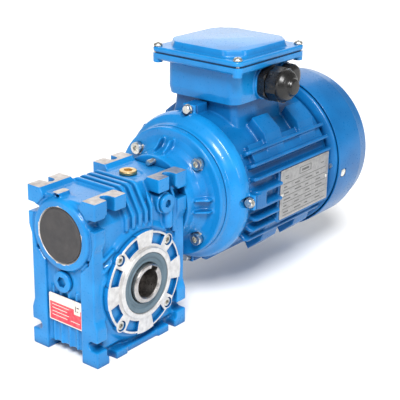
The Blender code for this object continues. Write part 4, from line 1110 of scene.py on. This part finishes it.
def nameplates():
    fields = [(-18.2, 18.2, -11.4, 4.8, 1)]
    fields += [(-15.6, 4.0 - 2.0 * (k % 2), 2.2 - 3.2 * k, 2.8 - 3.2 * k, 0) for k in range(4)]
    fields += [(10.0, 17.2, 0.4, 9.4, 0), (11.4, 12.4, 3.0, 8.2, 2), (13.2, 15.8, 6.6, 7.8, 2),
               (13.2, 15.0, 3.2, 4.2, 2), (6.0, 16.4, -7.4, -6.8, 0)]
    front = Matrix(((0, 0, -1, -56.0), (-1, 0, 0, -2.0), (0, 1, 0, 42.0), (0, 0, 0, 1)))
    plate("gearbox_plate", "gear_nameplate", "red_plate", 19.2, 12.4, fields, front)
    fields = [(-39.4, 39.4, -22.9, 22.9, 1), (-10, 10, 13.4, 14.0, 2), (-10, 10, 19.4, 20.0, 2),
              (-10, -9, 14, 19.4, 2), (9, 10, 14, 19.4, 2), (-6, 6, 15.6, 17.8, 2),
              (-33, -28, 16.5, 17.2, 2), (-33, -28, 14.5, 15.2, 2), (27, 32, 15.0, 15.8, 2)]
    fields += [(-36.4, 36.4, 9.6 - 6.2 * k, 10.2 - 6.2 * k, 2) for k in range(6)]
    fields += [(-35.0 + 18.0 * c, -30.0 + 18.0 * c + 3.0 * ((c + r) % 3), 6.0 - 6.2 * r,
                7.2 - 6.2 * r, 2) for c in range(4) for r in range(5)]
    side = Matrix(((1, 0, 0, 193.5), (0, 0, -1, -70.6), (0, 1, 0, 102.5), (0, 0, 0, 1)))
    plate("motor_plate", "motor_nameplate", "grey_plate", 40.5, 24.0, fields, side,
          rivets=[(-37.6, 0), (37.6, 0)])


# ---------------------------------------------------------------- carried-over CAD nodes

CARRIED = {
    "worm_shaft": STEEL, "worm_bearing_front": STEEL, "worm_bearing_rear": STEEL,
    "worm_circlip": STEEL, "output_bearing_near": STEEL, "output_bearing_far": STEEL,
    "motor_shaft": STEEL, "shaft_key": STEEL, "motor_bearing_drive": STEEL,
    "motor_bearing_fan": STEEL, "wheel_rim": BRONZE, "input_seal": SEAL_RUBBER,
    "stator_core": LAMINATION, "stator_winding": COPPER, "rotor_core": ROTOR_CAST,
    "lid_gasket": GASKET_PAINTED_SHADE, "terminal_board": BOARD,
}


def paint_carried():
    for node, material in CARRIED.items():
        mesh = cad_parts[node].data
        mesh.materials.clear()
        mesh.materials.append(material)


# ---------------------------------------------------------------- stage

FLOOR_HALF = 40.0
WORLD_STRENGTH = 0.30
SUN_POWER = 3.35
LIT_POINT = Vector((0.12, 0.0, 0.09))
# name, place, size and power of each
SOFT_LIGHTS = (("back", (1.5, 1.2, 1.05), 2.0, 17.0), ("left", (-1.3, 0.1, 0.55), 0.5, 3.0),
               ("front", (0.1, -1.6, 0.7), 0.4, 4.0), ("spark", (-0.5, -0.7, 0.9), 0.12, 2.2))


def add_lamp(name, kind, place, power):
    lamp = bpy.data.lights.new(name, kind)
    lamp.energy = power
    holder = bpy.data.objects.new(name, lamp)
    holder.location = place
    holder.rotation_euler = (LIT_POINT - Vector(place)).to_track_quat("-Z", "Y").to_euler()
    bpy.context.scene.collection.objects.link(holder)
    return lamp


def stage():
    bm = bmesh.new()
    bmesh.ops.create_grid(bm, x_segments=1, y_segments=1, size=FLOOR_HALF)
    floor = link(bm, "floor")
    made = Surface("floor")
    made.set(Base_Color=made.mix(made.noise(60.0), (0.93, 0.93, 0.93), (0.95, 0.95, 0.95)),
             Roughness=0.6)
    floor.data.materials.append(made.material)
    world = bpy.data.worlds.new("studio")
    bpy.context.scene.world = world
    world.use_nodes = True
    background = world.node_tree.nodes["Background"]
    background.inputs["Color"].default_value = (1.0, 1.0, 1.0, 1.0)
    background.inputs["Strength"].default_value = WORLD_STRENGTH
    sun = add_lamp("sun", "SUN", (-0.60, -0.60, 1.20), SUN_POWER)
    sun.angle = radians(20)
    for name, place, size, power in SOFT_LIGHTS:
        add_lamp(name, "AREA", place, power).size = size
    bpy.context.scene.view_settings.view_transform = "Standard"


def camera():
    azimuth, elevation, roll = radians(-51.668), radians(20.648), radians(0.948)
    distance = 0.99305
    target = Vector((0.123923, 0.0, 0.089211))
    back = Vector((sin(azimuth) * cos(elevation), -cos(azimuth) * cos(elevation), sin(elevation)))
    right = Vector((cos(azimuth), sin(azimuth), 0.0))
    up = back.cross(right)
    tilted_right = right * cos(roll) + up * sin(roll)
    tilted_up = up * cos(roll) - right * sin(roll)
    rotation = Matrix((tilted_right, tilted_up, back)).transposed().to_4x4()
    lens = bpy.data.cameras.new("camera")
    lens.sensor_width = 36.0
    lens.lens = 94.58
    holder = bpy.data.objects.new("camera", lens)
    bpy.context.scene.collection.objects.link(holder)
    holder.matrix_world = Matrix.Translation(target + back * distance) @ rotation
    bpy.context.scene.camera = holder


stage()
camera()
gear_housing()
cover_ring()
screws()
output_side()
plugs()
input_flange()
drive_end_shield()
motor_frame()
fan_end()
rotor_looks()
terminal_box()
cable_entries()
nameplates()
paint_carried()
